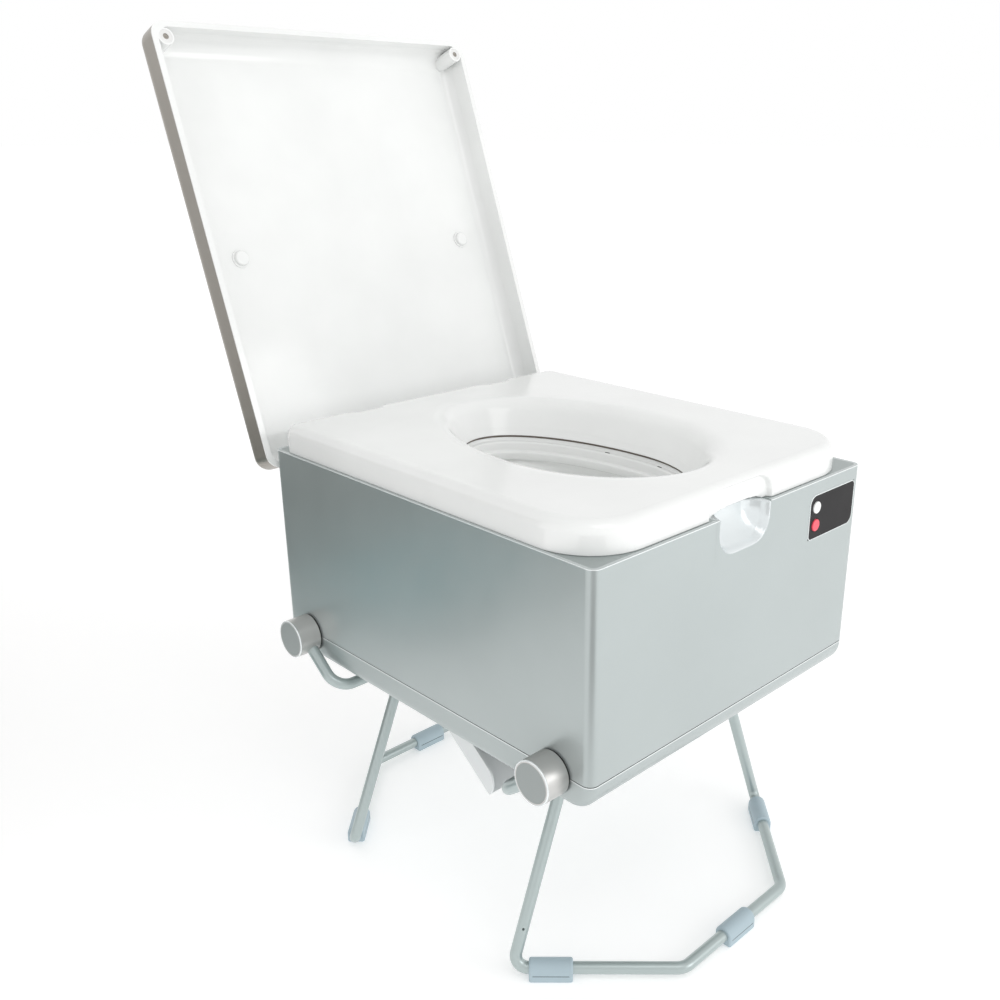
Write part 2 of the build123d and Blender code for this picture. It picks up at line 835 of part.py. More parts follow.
liner_inset = lid_skin + fit_gap
bumper_x = half_width - bumper_side_inset
post_x = lid_half_width - post_side_inset
post_y = lid_front_y + post_front_inset
cavity_front = lid_front_y + lid_wall
cavity_rear = lid_rear_y - lid_rear_wall
def free_edge_sweep():
    """The wide hollow rounding between the liner's floor and the wall at its free edge."""
    floor_z = lid_rim_z + lid_floor_depth
    low_z = floor_z - lid_front_floor_radius
    back_y = cavity_front + lid_front_floor_radius
    origin = lid_plane.from_local_coords((-lid_half_width, 0, 0))
    across = Plane(origin=origin, x_dir=lid_plane.y_dir, z_dir=lid_plane.x_dir)
    with BuildPart() as corner:
        with BuildSketch(across):
            with BuildLine():
                Polyline(
                    (cavity_front, low_z),
                    (cavity_front - 1, low_z),
                    (cavity_front - 1, floor_z + 1),
                    (back_y, floor_z + 1),
                    (back_y, floor_z),
                )
                RadiusArc((back_y, floor_z), (cavity_front, low_z), -lid_front_floor_radius)
            make_face()
        extrude(amount=2 * lid_half_width)
    return corner.part


with BuildPart() as lid_liner:
    extrude(lid_face(lid_rim_flange, liner_inset), amount=lid_depth - liner_inset - lid_rim_flange)
    liner_crown = lid_liner.faces().sort_by(Axis((0, 0, 0), lid_plane.z_dir))[-1]
    fillet(liner_crown.edges(), lid_edge_radius - liner_inset)
    extrude(lid_face(0, 0), amount=lid_rim_flange)
    with BuildPart(mode=Mode.PRIVATE) as cavity:
        with BuildSketch(lid_plane.offset(lid_rim_z - 1)):
            with Locations((0, (cavity_front + cavity_rear) / 2)):
                RectangleRounded(
                    2 * (lid_half_width - lid_wall), cavity_rear - cavity_front, lid_floor_radius + 1
                )
        extrude(amount=lid_floor_depth + 1)
        cavity_floor = cavity.faces().sort_by(Axis((0, 0, 0), lid_plane.z_dir))[-1]
        fillet(cavity_floor.edges(), lid_floor_radius)
        add(free_edge_sweep(), mode=Mode.SUBTRACT)
        with BuildSketch(lid_plane.offset(lid_rim_z - 2)):
            with Locations((-post_x, post_y), (post_x, post_y)):
                Circle(post_radius)
        extrude(amount=lid_depth, mode=Mode.SUBTRACT)
    add(cavity.part, mode=Mode.SUBTRACT)
    with BuildSketch(lid_plane.offset(lid_rim_z)):
        with Locations((-post_x, post_y), (post_x, post_y)):
            Circle(magnet_radius)
    extrude(amount=magnet_thickness, mode=Mode.SUBTRACT)
save(lid_liner.part, "lid_liner")

# Post magnets: countersunk ring magnets in the ends of the lid's posts
magnet_sink = 0.2
magnet_hole_radius = 3
with BuildPart() as post_magnets:
    with BuildSketch(lid_plane.offset(lid_rim_z + magnet_sink)):
        with Locations((-post_x, post_y), (post_x, post_y)):
            Circle(magnet_radius - fit_gap)
            Circle(magnet_hole_radius, mode=Mode.SUBTRACT)
    extrude(amount=magnet_thickness - magnet_sink)
save(post_magnets.part, "post_magnets")

# Lid bumpers: domed pads on the lid's floor that rest on the closed seat
bumper_height = lid_rim_z + lid_floor_depth - seat_top - move_gap
with BuildPart() as lid_bumpers:
    with BuildSketch(lid_plane.offset(lid_rim_z + lid_floor_depth)):
        with Locations((-bumper_x, bumper_y), (bumper_x, bumper_y)):
            Circle(bumper_radius)
    extrude(amount=-bumper_base)
    with BuildSketch(lid_plane.offset(lid_rim_z + lid_floor_depth - bumper_base)):
        with Locations((-bumper_x, bumper_y), (bumper_x, bumper_y)):
            Circle(bumper_radius - bumper_step)
    extrude(amount=bumper_base - bumper_height)
    domes = lid_bumpers.faces().filter_by(lambda f: f.geom_type == GeomType.PLANE)
    domes = domes.group_by(Axis((0, 0, 0), lid_plane.z_dir))[0]
    fillet(domes.edges(), bumper_step)
save(lid_bumpers.part, "lid_bumpers")

# Lid leaves: the strips that join the lid's rear wall to the hinge pins
leaf_sheet = 2.5
leaf_reach = 26
with BuildPart() as lid_leaves:
    for side in (-1, 1):
        start = side * hinge_x + (lid_leaf_span[0] if side > 0 else -lid_leaf_span[1])
        leaf_x = lid_plane.from_local_coords((start, 0, 0))
        across = Plane(origin=leaf_x, x_dir=lid_plane.y_dir, z_dir=lid_plane.x_dir)
        with BuildSketch(across):
            with Locations((hinge_y, hinge_z)):
                Circle(barrel_radius)
            with Locations((cavity_rear - leaf_sheet / 2, hinge_z + leaf_reach / 2)):
                Rectangle(leaf_sheet, leaf_reach)
            with Locations((hinge_y, hinge_z)):
                Circle(hinge_pin_radius + running_gap, mode=Mode.SUBTRACT)
        extrude(amount=lid_leaf_span[1] - lid_leaf_span[0])
save(lid_leaves.part, "lid_leaves")

# Pivot brackets, shafts and washers: four of each, at the ends of the two leg axes
bracket_inner_x = half_width - pivot_bracket_depth
bracket_outer_x = half_width - tray_wall - 0.2
bracket_low = leg_axis_z - pivot_bracket_below
bracket_high = leg_axis_z + pivot_bracket_above
shaft_end_x = half_width + washer_thickness + move_gap + pivot_reach
with BuildPart() as pivot_brackets:
    for side in (-1, 1):
        with BuildSketch(Plane.YZ.offset(side * bracket_inner_x)):
            for end in (-1, 1):
                with Locations((end * leg_axis_y, (bracket_low + bracket_high) / 2)):
                    RectangleRounded(
                        2 * pivot_bracket_half_length, bracket_high - bracket_low, pivot_bracket_radius
                    )
                with Locations((end * leg_axis_y, leg_axis_z)):
                    Circle(pivot_radius, mode=Mode.SUBTRACT)
        extrude(amount=side * (bracket_outer_x - bracket_inner_x))
save(pivot_brackets.part, "pivot_brackets")

with BuildPart() as pivot_shafts:
    for side in (-1, 1):
        with BuildSketch(Plane.YZ.offset(side * bracket_inner_x)):
            with Locations((-leg_axis_y, leg_axis_z), (leg_axis_y, leg_axis_z)):
                Circle(pivot_radius)
        extrude(amount=side * (shaft_end_x - bracket_inner_x))
save(pivot_shafts.part, "pivot_shafts")

with BuildPart() as pivot_washers:
    for side in (-1, 1):
        with BuildSketch(Plane.YZ.offset(side * half_width)):
            for end in (-1, 1):
                with Locations((end * leg_axis_y, leg_axis_z)):
                    Circle(washer_radius)
                    Circle(pivot_radius + fit_gap, mode=Mode.SUBTRACT)
        extrude(amount=side * washer_thickness)
save(pivot_washers.part, "pivot_washers")

# Leg stop pads: rubber blocks under the base that the leg frames bear on
pad_bottom = run_z + tube_radius + move_gap
stop_pad_x = half_width - stop_pad_inset
with BuildPart() as leg_stop_pads:
    with BuildSketch(Plane.XY.offset(base_bottom)):
        for side in (-1, 1):
            for end in (-1, 1):
                with Locations((side * stop_pad_x, end * run_y)):
                    RectangleRounded(stop_pad_length, stop_pad_width, stop_pad_radius)
    extrude(amount=pad_bottom - base_bottom)
save(leg_stop_pads.part, "leg_stop_pads")


# Leg frames: one bent tube each, from hub to hub
def leg_points(end):
    """The corners of a leg frame's centre line, end -1 in front and 1 behind."""
    arm = Vector(0, run_y - leg_axis_y, run_z - leg_axis_z)
    start = arm.normalized() * hub_socket_depth
    half = [
        (arm_x, end * (leg_axis_y + start.Y), leg_axis_z + start.Z),
        (arm_x, end * run_y, run_z),
        (knee_x, end * run_y, run_z),
        (foot_corner[0], end * foot_corner[1], foot_height),
        (foot_nose[0], end * foot_nose[1], foot_height),
    ]
    return [(-x, y, z) for x, y, z in half] + [half[i] for i in (4, 3, 2, 1, 0)]


def leg_frame(end):
    """One leg frame, swept along straight runs and tangent arcs."""
    points = leg_points(end)
    bends = [arm_bend, knee_bend, corner_bend, nose_bend]
    with BuildPart() as frame:
        with BuildLine() as path:
            FilletPolyline(*points, radius=bends + bends[::-1])
        ring = Plane(origin=points[0], z_dir=Vector(*points[1]) - Vector(*points[0]))
        with BuildSketch(ring):
            Circle(tube_radius)
        sweep(path=path.wire())
        if end < 0:
            knee = Vector(*points[2])
            corner = Vector(*points[3])
            weep = knee + (corner - knee) * weep_hole_fraction
            with BuildSketch(Plane(origin=weep, z_dir=(-1, -1, 0))):
                Circle(weep_hole_radius)
            extrude(amount=2 * tube_radius, mode=Mode.SUBTRACT)
    return frame.part


def leg_hubs(end):
    """The two hubs of a leg frame, each with a pivot bore and a tube socket."""
    points = leg_points(end)
    inner = half_width + washer_thickness + move_gap
    with BuildPart() as hubs:
        for side in (-1, 1):
            with BuildSketch(Plane.YZ.offset(side * inner)):
                with Locations((end * leg_axis_y, leg_axis_z)):
                    Circle(hub_radius)
            extrude(amount=side * hub_length)
            with BuildSketch(Plane.YZ.offset(side * inner)):
                with Locations((end * leg_axis_y, leg_axis_z)):
                    Circle(pivot_radius + running_gap)
            extrude(amount=side * (shaft_end_x + 0.5 - inner), mode=Mode.SUBTRACT)
            with BuildSketch(Plane.YZ.offset(side * (inner + hub_length))):
                with Locations((end * leg_axis_y, leg_axis_z)):
                    Circle(hub_disc_radius)
            extrude(amount=-side * hub_disc_thickness, mode=Mode.SUBTRACT)
            mouth = Vector(side * arm_x, *points[0][1:])
            bend = Vector(side * arm_x, *points[1][1:])
            with BuildSketch(Plane(origin=mouth, z_dir=bend - mouth)):
                Circle(tube_radius + running_gap)
            extrude(amount=hub_socket_depth, mode=Mode.SUBTRACT)
        outer_rims = hubs.edges().filter_by(GeomType.CIRCLE)
        outer_rims = [e for e in outer_rims if abs(e.radius - hub_radius) < 0.01]
        outer_rims = [e for e in outer_rims if abs(e.center().X) > inner + hub_length - 0.1]
        chamfer(outer_rims, hub_chamfer)
    return hubs.part


def hub_discs(end):
    """The flat grey discs that close the two hubs of a leg frame."""
    outer = half_width + washer_thickness + move_gap + hub_length
    with BuildPart() as discs:
        for side in (-1, 1):
            with BuildSketch(Plane.YZ.offset(side * (outer - hub_disc_thickness))):
                with Locations((end * leg_axis_y, leg_axis_z)):
                    Circle(hub_disc_radius - fit_gap)
            extrude(amount=side * hub_disc_thickness)
    return discs.part


def foot_clip(centre, along):
    """One foot clip: a flat-soled sleeve round the tube."""
    across = Plane(origin=centre, x_dir=along.cross(Vector(0, 0, 1)), z_dir=along)
    upward = 1 if across.y_dir.Z > 0 else -1
    with BuildPart() as clip:
        with BuildSketch(across.offset(-clip_length / 2)) as section:
            Circle(clip_half_width)
            with Locations((0, -upward * foot_height / 2)):
                Rectangle(2 * clip_half_width, foot_height)
            sole_corners = section.vertices().filter_by(lambda v: abs(v.Y) > foot_height - 0.01)
            fillet(sole_corners, clip_sole_radius)
        extrude(amount=clip_length)
        ends = clip.faces().filter_by(lambda f: abs(f.normal_at().dot(across.z_dir)) > 0.99)
        fillet(ends.edges(), clip_end_radius)
        with BuildSketch(across.offset(-clip_length / 2)):
            Circle(tube_radius + running_gap)
        extrude(amount=clip_length, mode=Mode.SUBTRACT)
    return clip.part


def clip_places(end):
    """The centres and directions of a leg frame's three foot clips."""
    a = Vector(foot_corner[0], end * foot_corner[1], foot_height)
    b = Vector(foot_nose[0], end * foot_nose[1], foot_height)
    right = a + (b - a) * clip_fraction
    left = Vector(-right.X, right.Y, right.Z)
    turn = (b - a).normalized()
    return {
        "left": (left, Vector(-turn.X, turn.Y, 0)),
        "centre": (Vector(0, b.Y, foot_height), Vector(1, 0, 0)),
        "right": (right, turn),
    }


for end, where in ((-1, "front"), (1, "rear")):
    save(leg_frame(end), f"{where}_leg_frame")
    save(leg_hubs(end), f"{where}_leg_hubs")
    save(hub_discs(end), f"{where}_hub_discs")
    for place, (centre, along) in clip_places(end).items():
        save(foot_clip(centre, along), f"{where}_{place}_foot_clip")

# Discharge flap: a translucent chute that hangs open under the base
flap_plane = hinge_plane(flap_hinge_y, flap_axis_z, flap_open_angle)
flap_nose_y = flap_hinge_y - flap_length
flap_cheek_rear = flap_hinge_y - flap_barrel_radius - 1


def flap_section(x_start):
    """The plane across the flap at a place along its hinge, in closed coordinates."""
    origin = flap_plane.from_local_coords((x_start, 0, 0))
    return Plane(origin=origin, x_dir=flap_plane.y_dir, z_dir=flap_plane.x_dir)


with BuildPart() as discharge_flap:
    with BuildSketch(flap_section(-flap_half_width)):
        with Locations(((flap_nose_y + flap_hinge_y) / 2, base_bottom + flap_sheet / 2)):
            Rectangle(flap_length, flap_sheet)
        with Locations((flap_hinge_y, flap_axis_z)):
            Circle(flap_barrel_radius)
            Circle(flap_pin_radius + running_gap, mode=Mode.SUBTRACT)
    extrude(amount=2 * flap_half_width)
    for side in (-1, 1):
        with BuildSketch(flap_section(side * flap_half_width)) as cheek:
            with BuildLine():
                Polyline(
                    (flap_cheek_rear, base_bottom),
                    (flap_nose_y, base_bottom),
                    (flap_nose_y, base_bottom + flap_cheek_height),
                    (flap_cheek_rear, base_bottom + flap_cheek_height),
                    close=True,
                )
            make_face()
            nose_corner = cheek.vertices().sort_by(Axis.X)[:2].sort_by(Axis.Y)[-1]
            fillet(nose_corner, flap_nose_radius)
        extrude(amount=-side * flap_cheek_sheet)
save(discharge_flap.part, "discharge_flap")

with BuildPart() as flap_hinge_pin:
    with BuildSketch(Plane.YZ.offset(-flap_ear_x - flap_ear_sheet)):
        with Locations((flap_hinge_y, flap_axis_z)):
            Circle(flap_pin_radius)
    extrude(amount=2 * (flap_ear_x + flap_ear_sheet))
save(flap_hinge_pin.part, "flap_hinge_pin")

# Seal frame: a rectangle of plate that stands on the tray round the discharge window
frame_outer = frame_half_width + frame_plate
frame_margin = 2
frame_foot = 24
frame_low = jaw_low - frame_margin
frame_high = jaw_high + frame_margin
jaw_axis_z = (jaw_low + jaw_high) / 2
nut_hub_radius = 9
pinion_x = screw_gear_radius + pinion_radius + move_gap
motor_collar_radius = 7
frame_centre_y = (frame_front + frame_rear) / 2
frame_span = frame_rear - frame_front
with BuildPart() as seal_frame:
    with BuildSketch(Plane.XY.offset(frame_low)):
        with Locations((0, frame_centre_y)):
            Rectangle(2 * frame_outer, frame_span + 2 * frame_plate)
            Rectangle(2 * frame_half_width, frame_span, mode=Mode.SUBTRACT)
    extrude(amount=frame_high - frame_low)
    with BuildSketch(Plane.XY.offset(tray_floor)):
        for side in (-1, 1):
            for y in (frame_front + frame_foot / 2, frame_rear - frame_foot / 2):
                with Locations((side * (frame_half_width + frame_plate / 2), y)):
                    Rectangle(frame_plate, frame_foot)
    extrude(amount=frame_low - tray_floor)
    with BuildSketch(Plane.XZ.offset(-frame_rear - frame_plate)):
        with Locations((-rod_x, jaw_axis_z), (rod_x, jaw_axis_z)):
            Circle(rod_radius)
    extrude(amount=frame_span + 2 * frame_plate, mode=Mode.SUBTRACT)
    with BuildSketch(Plane.XZ.offset(-frame_front + frame_plate)):
        with Locations((0, jaw_axis_z)):
            Circle(nut_hub_radius + running_gap)
        with Locations((pinion_x, jaw_axis_z)):
            Circle(motor_collar_radius)
    extrude(amount=-frame_plate, mode=Mode.SUBTRACT)
save(seal_frame.part, "seal_frame")

with BuildPart() as guide_rods:
    with BuildSketch(Plane.XZ.offset(-frame_rear - frame_plate)):
        with Locations((-rod_x, jaw_axis_z), (rod_x, jaw_axis_z)):
            Circle(rod_radius)
    extrude(amount=frame_span + 2 * frame_plate)
save(guide_rods.part, "guide_rods")

# Heater bar and strip: the fixed jaw behind the film
heater_sheet = 1.2
heater_depth = 14
with BuildPart() as heater_bar:
    with BuildSketch(Plane.XY.offset(jaw_low)):
        with Locations((0, film_gap + heater_sheet + heater_depth / 2)):
            Rectangle(2 * frame_half_width, heater_depth)
    extrude(amount=jaw_high - jaw_low)
    with BuildSketch(Plane.XZ.offset(-film_gap - heater_sheet - heater_depth)):
        with Locations((-rod_x, jaw_axis_z), (rod_x, jaw_axis_z)):
            Circle(rod_radius)
    extrude(amount=heater_depth, mode=Mode.SUBTRACT)
save(heater_bar.part, "heater_bar")

strip_half_height = 5
with BuildPart() as heater_strip:
    with BuildSketch(Plane.XZ.offset(-film_gap - heater_sheet)):
        with Locations((0, jaw_axis_z)):
            Rectangle(2 * seal_half_length, 2 * strip_half_height)
    extrude(amount=heater_sheet)
save(heater_strip.part, "heater_strip")

# Press jaw: slides on the rods and carries a soft pad and the lead screw
jaw_pad_sheet = 2
jaw_depth = 15
jaw_face_y = -film_gap - jaw_open - jaw_pad_sheet
with BuildPart() as press_jaw:
    with BuildSketch(Plane.XY.offset(jaw_low)):
        with Locations((0, jaw_face_y - jaw_depth / 2)):
            Rectangle(2 * jaw_half_length, jaw_depth)
    extrude(amount=jaw_high - jaw_low)
    with BuildSketch(Plane.XZ.offset(-jaw_face_y)):
        with Locations((-rod_x, jaw_axis_z), (rod_x, jaw_axis_z)):
            Circle(rod_radius + running_gap)
    extrude(amount=jaw_depth, mode=Mode.SUBTRACT)
save(press_jaw.part, "press_jaw")

with BuildPart() as jaw_pad:
    with BuildSketch(Plane.XZ.offset(-jaw_face_y)):
        with Locations((0, jaw_axis_z)):
            Rectangle(2 * seal_half_length, 2 * strip_half_height)
    extrude(amount=-jaw_pad_sheet)
save(jaw_pad.part, "jaw_pad")

screw_overrun = 22
screw_front_y = frame_front - screw_overrun
with BuildPart() as lead_screw:
    with BuildSketch(Plane.XZ.offset(-jaw_face_y + jaw_depth)):
        with Locations((0, jaw_axis_z)):
            Circle(screw_radius)
    extrude(amount=jaw_face_y - jaw_depth - screw_front_y)
save(lead_screw.part, "lead_screw")

# Nut gear: turns in the frame's front plate and drives the screw
nut_flange = 1.5
nut_flange_margin = 1.5
with BuildPart() as nut_gear:
    with BuildSketch(Plane.XZ.offset(-frame_front - move_gap)):
        with Locations((0, jaw_axis_z)):
            Circle(screw_gear_radius)
    extrude(amount=-gear_thickness)
    with BuildSketch(Plane.XZ.offset(-frame_front - move_gap)):
        with Locations((0, jaw_axis_z)):
            Circle(nut_hub_radius)
    extrude(amount=frame_plate + 2 * move_gap + nut_flange)
    with BuildSketch(Plane.XZ.offset(-frame_front + frame_plate + move_gap)):
        with Locations((0, jaw_axis_z)):
            Circle(nut_hub_radius + nut_flange_margin)
    extrude(amount=nut_flange)
    with BuildSketch(Plane.XZ.offset(-frame_front + 2 * frame_plate)):
        with Locations((0, jaw_axis_z)):
            Circle(screw_radius + running_gap)
    extrude(amount=-4 * gear_thickness, mode=Mode.SUBTRACT)
save(nut_gear.part, "nut_gear")

# Drive motor and its pinion
motor_radius = 12
motor_length = 46
motor_shaft_radius = 2
motor_offset = 4
with BuildPart() as drive_motor:
    with BuildSketch(Plane.XZ.offset(-frame_front + frame_plate)):
        with Locations((pinion_x + motor_offset, jaw_axis_z)):
            Circle(motor_radius)
    extrude(amount=motor_length)
    with BuildSketch(Plane.XZ.offset(-frame_front + frame_plate)):
        with Locations((pinion_x, jaw_axis_z)):
            Circle(motor_collar_radius)
    extrude(amount=-frame_plate)
    with BuildSketch(Plane.XZ.offset(-frame_front)):
        with Locations((pinion_x, jaw_axis_z)):
            Circle(motor_shaft_radius)
    extrude(amount=-gear_thickness - 2 * move_gap)
save(drive_motor.part, "drive_motor")

with BuildPart() as motor_pinion:
    with BuildSketch(Plane.XZ.offset(-frame_front - move_gap)):
        with Locations((pinion_x, jaw_axis_z)):
            Circle(pinion_radius)
            Circle(motor_shaft_radius + running_gap, mode=Mode.SUBTRACT)
    extrude(amount=-gear_thickness)
save(motor_pinion.part, "motor_pinion")

# Battery pack on the tray floor behind the window
battery_size = (150, 80, 42)
battery_rear_gap = 72
battery_radius = 5
battery_edge_radius = 3
battery_y = half_depth - battery_rear_gap - battery_size[1] / 2
with BuildPart() as battery_pack:
    with BuildSketch(Plane.XY.offset(tray_floor)):
        with Locations((0, battery_y)):
            RectangleRounded(battery_size[0], battery_size[1], battery_radius)
    extrude(amount=battery_size[2])
    fillet(battery_pack.faces().sort_by(Axis.Z)[-1].edges(), battery_edge_radius)
save(battery_pack.part, "battery_pack")
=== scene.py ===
import json
import math
import bpy
from mathutils import Matrix, Vector
from mathutils.geometry import tessellate_polygon


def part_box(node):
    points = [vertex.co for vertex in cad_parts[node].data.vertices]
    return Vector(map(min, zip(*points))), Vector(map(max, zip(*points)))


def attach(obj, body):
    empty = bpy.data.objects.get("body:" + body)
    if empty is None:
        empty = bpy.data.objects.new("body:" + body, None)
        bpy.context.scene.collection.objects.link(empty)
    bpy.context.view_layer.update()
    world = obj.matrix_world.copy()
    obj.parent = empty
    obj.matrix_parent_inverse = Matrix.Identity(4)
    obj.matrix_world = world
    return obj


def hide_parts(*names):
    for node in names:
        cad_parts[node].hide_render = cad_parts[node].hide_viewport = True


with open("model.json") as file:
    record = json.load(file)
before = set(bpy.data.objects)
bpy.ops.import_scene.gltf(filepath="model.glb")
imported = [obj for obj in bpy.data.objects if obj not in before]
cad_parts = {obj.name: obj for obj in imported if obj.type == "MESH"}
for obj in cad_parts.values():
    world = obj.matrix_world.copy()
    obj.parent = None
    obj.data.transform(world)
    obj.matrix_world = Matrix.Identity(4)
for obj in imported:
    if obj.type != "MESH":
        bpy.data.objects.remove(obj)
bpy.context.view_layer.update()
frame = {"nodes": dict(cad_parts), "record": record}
nodes = frame["nodes"]

# The frame's origin lies behind the middle of the casing by this much
ORIGIN_BACK = 0.078


# Node materials
def new_material(name):
    """An empty node material with its shader and its node tree."""
    material = bpy.data.materials.new(name)
    material.use_nodes = True
    tree = material.node_tree
    return material, tree, tree.nodes["Principled BSDF"]


def object_position(tree):
    """The point's place on the piece, in metres."""
    return tree.nodes.new("ShaderNodeTexCoord").outputs["Object"]


def noise(tree, position, scale, detail=3.0, roughness=0.5, stretch=(1, 1, 1)):
    """A noise value at a scale per metre, stretched along the axes."""
    mapping = tree.nodes.new("ShaderNodeMapping")
    mapping.inputs["Scale"].default_value = stretch
    tree.links.new(position, mapping.inputs["Vector"])
    texture = tree.nodes.new("ShaderNodeTexNoise")
    texture.inputs["Scale"].default_value = scale
    texture.inputs["Detail"].default_value = detail
    texture.inputs["Roughness"].default_value = roughness
    tree.links.new(mapping.outputs["Vector"], texture.inputs["Vector"])
    return texture.outputs["Fac"]


def ramp(tree, value, low, high, at=(0.3, 0.7)):
    """A colour that runs from low to high as the value goes from one place to the other."""
    node = tree.nodes.new("ShaderNodeValToRGB")
    node.color_ramp.elements[0].position = at[0]
    node.color_ramp.elements[1].position = at[1]
    node.color_ramp.elements[0].color = (*low, 1)
    node.color_ramp.elements[1].color = (*high, 1)
    tree.links.new(value, node.inputs["Fac"])
    return node.outputs["Color"]


def span(tree, value, low, high):
    """The value, taken from 0..1 to low..high."""
    node = tree.nodes.new("ShaderNodeMapRange")
    node.inputs["To Min"].default_value = low
    node.inputs["To Max"].default_value = high
    tree.links.new(value, node.inputs["Value"])
    return node.outputs["Result"]


def bump(tree, shader, height, strength, distance):
    """A bump of a real height in metres on the shader's normal."""
    node = tree.nodes.new("ShaderNodeBump")
    node.inputs["Strength"].default_value = strength
    node.inputs["Distance"].default_value = distance
    tree.links.new(height, node.inputs["Height"])
    tree.links.new(node.outputs["Normal"], shader.inputs["Normal"])


def tone(colour, factor):
    """The colour, made lighter or darker."""
    return tuple(min(1.0, c * factor) for c in colour)


def moulded(name, colour, rough, grain=900, depth=0.00002, coat=0.0, mottle=0.03, metal=0.0, shine=0.5):
    """A moulded or painted surface with a faint mottle, a grain and uneven gloss."""
    material, tree, shader = new_material(name)
    position = object_position(tree)
    wide = noise(tree, position, 9, 4)
    fine = noise(tree, position, grain, 2)
    colours = ramp(tree, wide, tone(colour, 1 - mottle), tone(colour, 1 + mottle))
    tree.links.new(colours, shader.inputs["Base Color"])
    gloss = noise(tree, position, 35, 3)
    tree.links.new(span(tree, gloss, rough * 0.85, rough * 1.15), shader.inputs["Roughness"])
    shader.inputs["Metallic"].default_value = metal
    shader.inputs["Specular IOR Level"].default_value = shine
    shader.inputs["Coat Weight"].default_value = coat
    shader.inputs["Coat Roughness"].default_value = 0.06
    bump(tree, shader, fine, 0.25, depth)
    return material


MATERIALS = {
    "grey_shell": moulded("grey_metallic_paint", (0.455, 0.50, 0.497), 0.33, 2600, 0.000006, 0.12, 0.02, 0.6),
    "white_gloss": moulded("white_gloss_moulding", (0.85, 0.86, 0.85), 0.16, 500, 0.000005, 0.5),
    "silver_shell": moulded("silver_metallic_paint", (0.36, 0.335, 0.30), 0.34, 2600, 0.000006, 0.2, 0.02, 0.6),
    "dark_plastic": moulded("dark_moulding", (0.022, 0.021, 0.022), 0.45, 1600, shine=0.15),
    "light_grey_plastic": moulded("light_grey_moulding", (0.46, 0.51, 0.51), 0.4, 1600),
    "red_plastic": moulded("red_moulding", (0.9, 0.09, 0.13), 0.3, 1200),
    "leg_tube": moulded("tube_lacquer", (0.45, 0.515, 0.51), 0.3, 240, 0.000004, 0.1, 0.02, 0.5),
    "hub_grey": moulded("hub_cap_grey", (0.33, 0.36, 0.355), 0.4, 1800, 0.000006, 0.0, 0.02, 0.2),
    "foot_plastic": moulded("foot_moulding", (0.42, 0.52, 0.57), 0.5, 1400),
    "rubber": moulded("soft_rubber", (0.02, 0.022, 0.022), 0.75, 1400, shine=0.2),
    "flap_plastic": moulded("milky_moulding", (0.76, 0.785, 0.79), 0.35, 900),
    "film": moulded("pale_film", (0.93, 0.94, 0.93), 0.25, 90, 0.0004),
    "steel": moulded("bright_steel", (0.55, 0.55, 0.55), 0.3, 300, 0.000005, 0.0, 0.04, 1.0),
    "aluminium": moulded("machined_aluminium", (0.7, 0.71, 0.72), 0.35, 300, 0.000005, 0.0, 0.04, 1.0),
    "brass": moulded("turned_brass", (0.7, 0.5, 0.22), 0.3, 300, 0.000005, 0.0, 0.04, 1.0),
    "board": moulded("board_green", (0.03, 0.16, 0.07), 0.4, 1500),
}

HUB_SATIN = moulded("satin_hub_metal", (0.62, 0.615, 0.60), 0.36, 240, 0.000004, 0.0, 0.02, 0.85)
# Painted highlight: the casing's silver paint made lighter for the dimple of the finger scoop
SCOOP_HIGHLIGHT_SILVER = moulded("silver_scoop_painted_highlight", (0.74, 0.78, 0.79), 0.24, 900, 0.000004, 0.3, 0.02, 0.45)
DECK_GREY = moulded("deck_grey_metallic", (0.36, 0.40, 0.395), 0.36, 1600, 0.000006, 0.0, 0.02, 0.4)
MAGNET_NICKEL = moulded("pale_nickel", (0.80, 0.80, 0.79), 0.3, 300, 0.000004, 0.0, 0.02, 0.25)
# Painted shade: a dark taupe for the ring under the seat's skirt that stands in for the shaded gap there
GAP_SHADE_TAUPE = moulded("taupe_gap_shade", (0.20, 0.165, 0.14), 0.85, 700, 0.00006, 0.0, 0.08)
# Painted highlight: a near-white finish for thin strips and rings that stand in for light caught along edges
PAINTED_HIGHLIGHT_EDGE = moulded("painted_highlight_edge", (0.86, 0.9, 0.9), 0.22, 2600, 0.00001, 0.3, 0.02, 0.3)
TRIM_WHITE = moulded("rim_trim_white", (0.50, 0.54, 0.54), 0.3, 900, 0.00001, 0.2)

for part in frame["record"]["subparts"]:
    shown = nodes[part["node"]]
    shown.data.materials.clear()
    shown.data.materials.append(MATERIALS[part["material_slot"]])
nodes["rim_trim"].data.materials[0] = TRIM_WHITE
nodes["top_deck"].data.materials[0] = DECK_GREY
nodes["post_magnets"].data.materials[0] = MAGNET_NICKEL
for hub_node in ("front_leg_hubs", "rear_leg_hubs"):
    nodes[hub_node].data.materials[0] = HUB_SATIN

# Sizes that the drawn pieces share with the solids, in millimetres from the casing's middle
MM = 0.001
BODY_HALF_WIDTH = 195
BODY_HALF_DEPTH = 227
RIM_HEIGHT = 449
SEAT_HALF_WIDTH = 191.5
SEAT_FRONT = 222
SEAT_REAR = 214
SEAT_BOTTOM = 449.3
SEAT_HEIGHT = 28.2
SEAT_EDGE = 11
SEAT_FRONT_CORNER = 60
SEAT_REAR_CORNER = 14
SEAT_WALL = 4
OVAL_LINE = -40
OVAL_HALF_WIDTH = 80
OVAL_FRONT = 108
OVAL_REAR = 170
HINGE_X = 92
NOTCH_REACH = 8
NOTCH_HALF = 21
ARCH_HALF = 45
ARCH_HEIGHT = 24
ARCH_CORNER = 19
ARCH_RECESS = 5
GAP_HALF = 37
GAP_HEIGHT = 5
GAP_REACH = 13
SCOOP_HALF = 37.5
SCOOP_DROP = 36
SCOOP_CORNER = 23
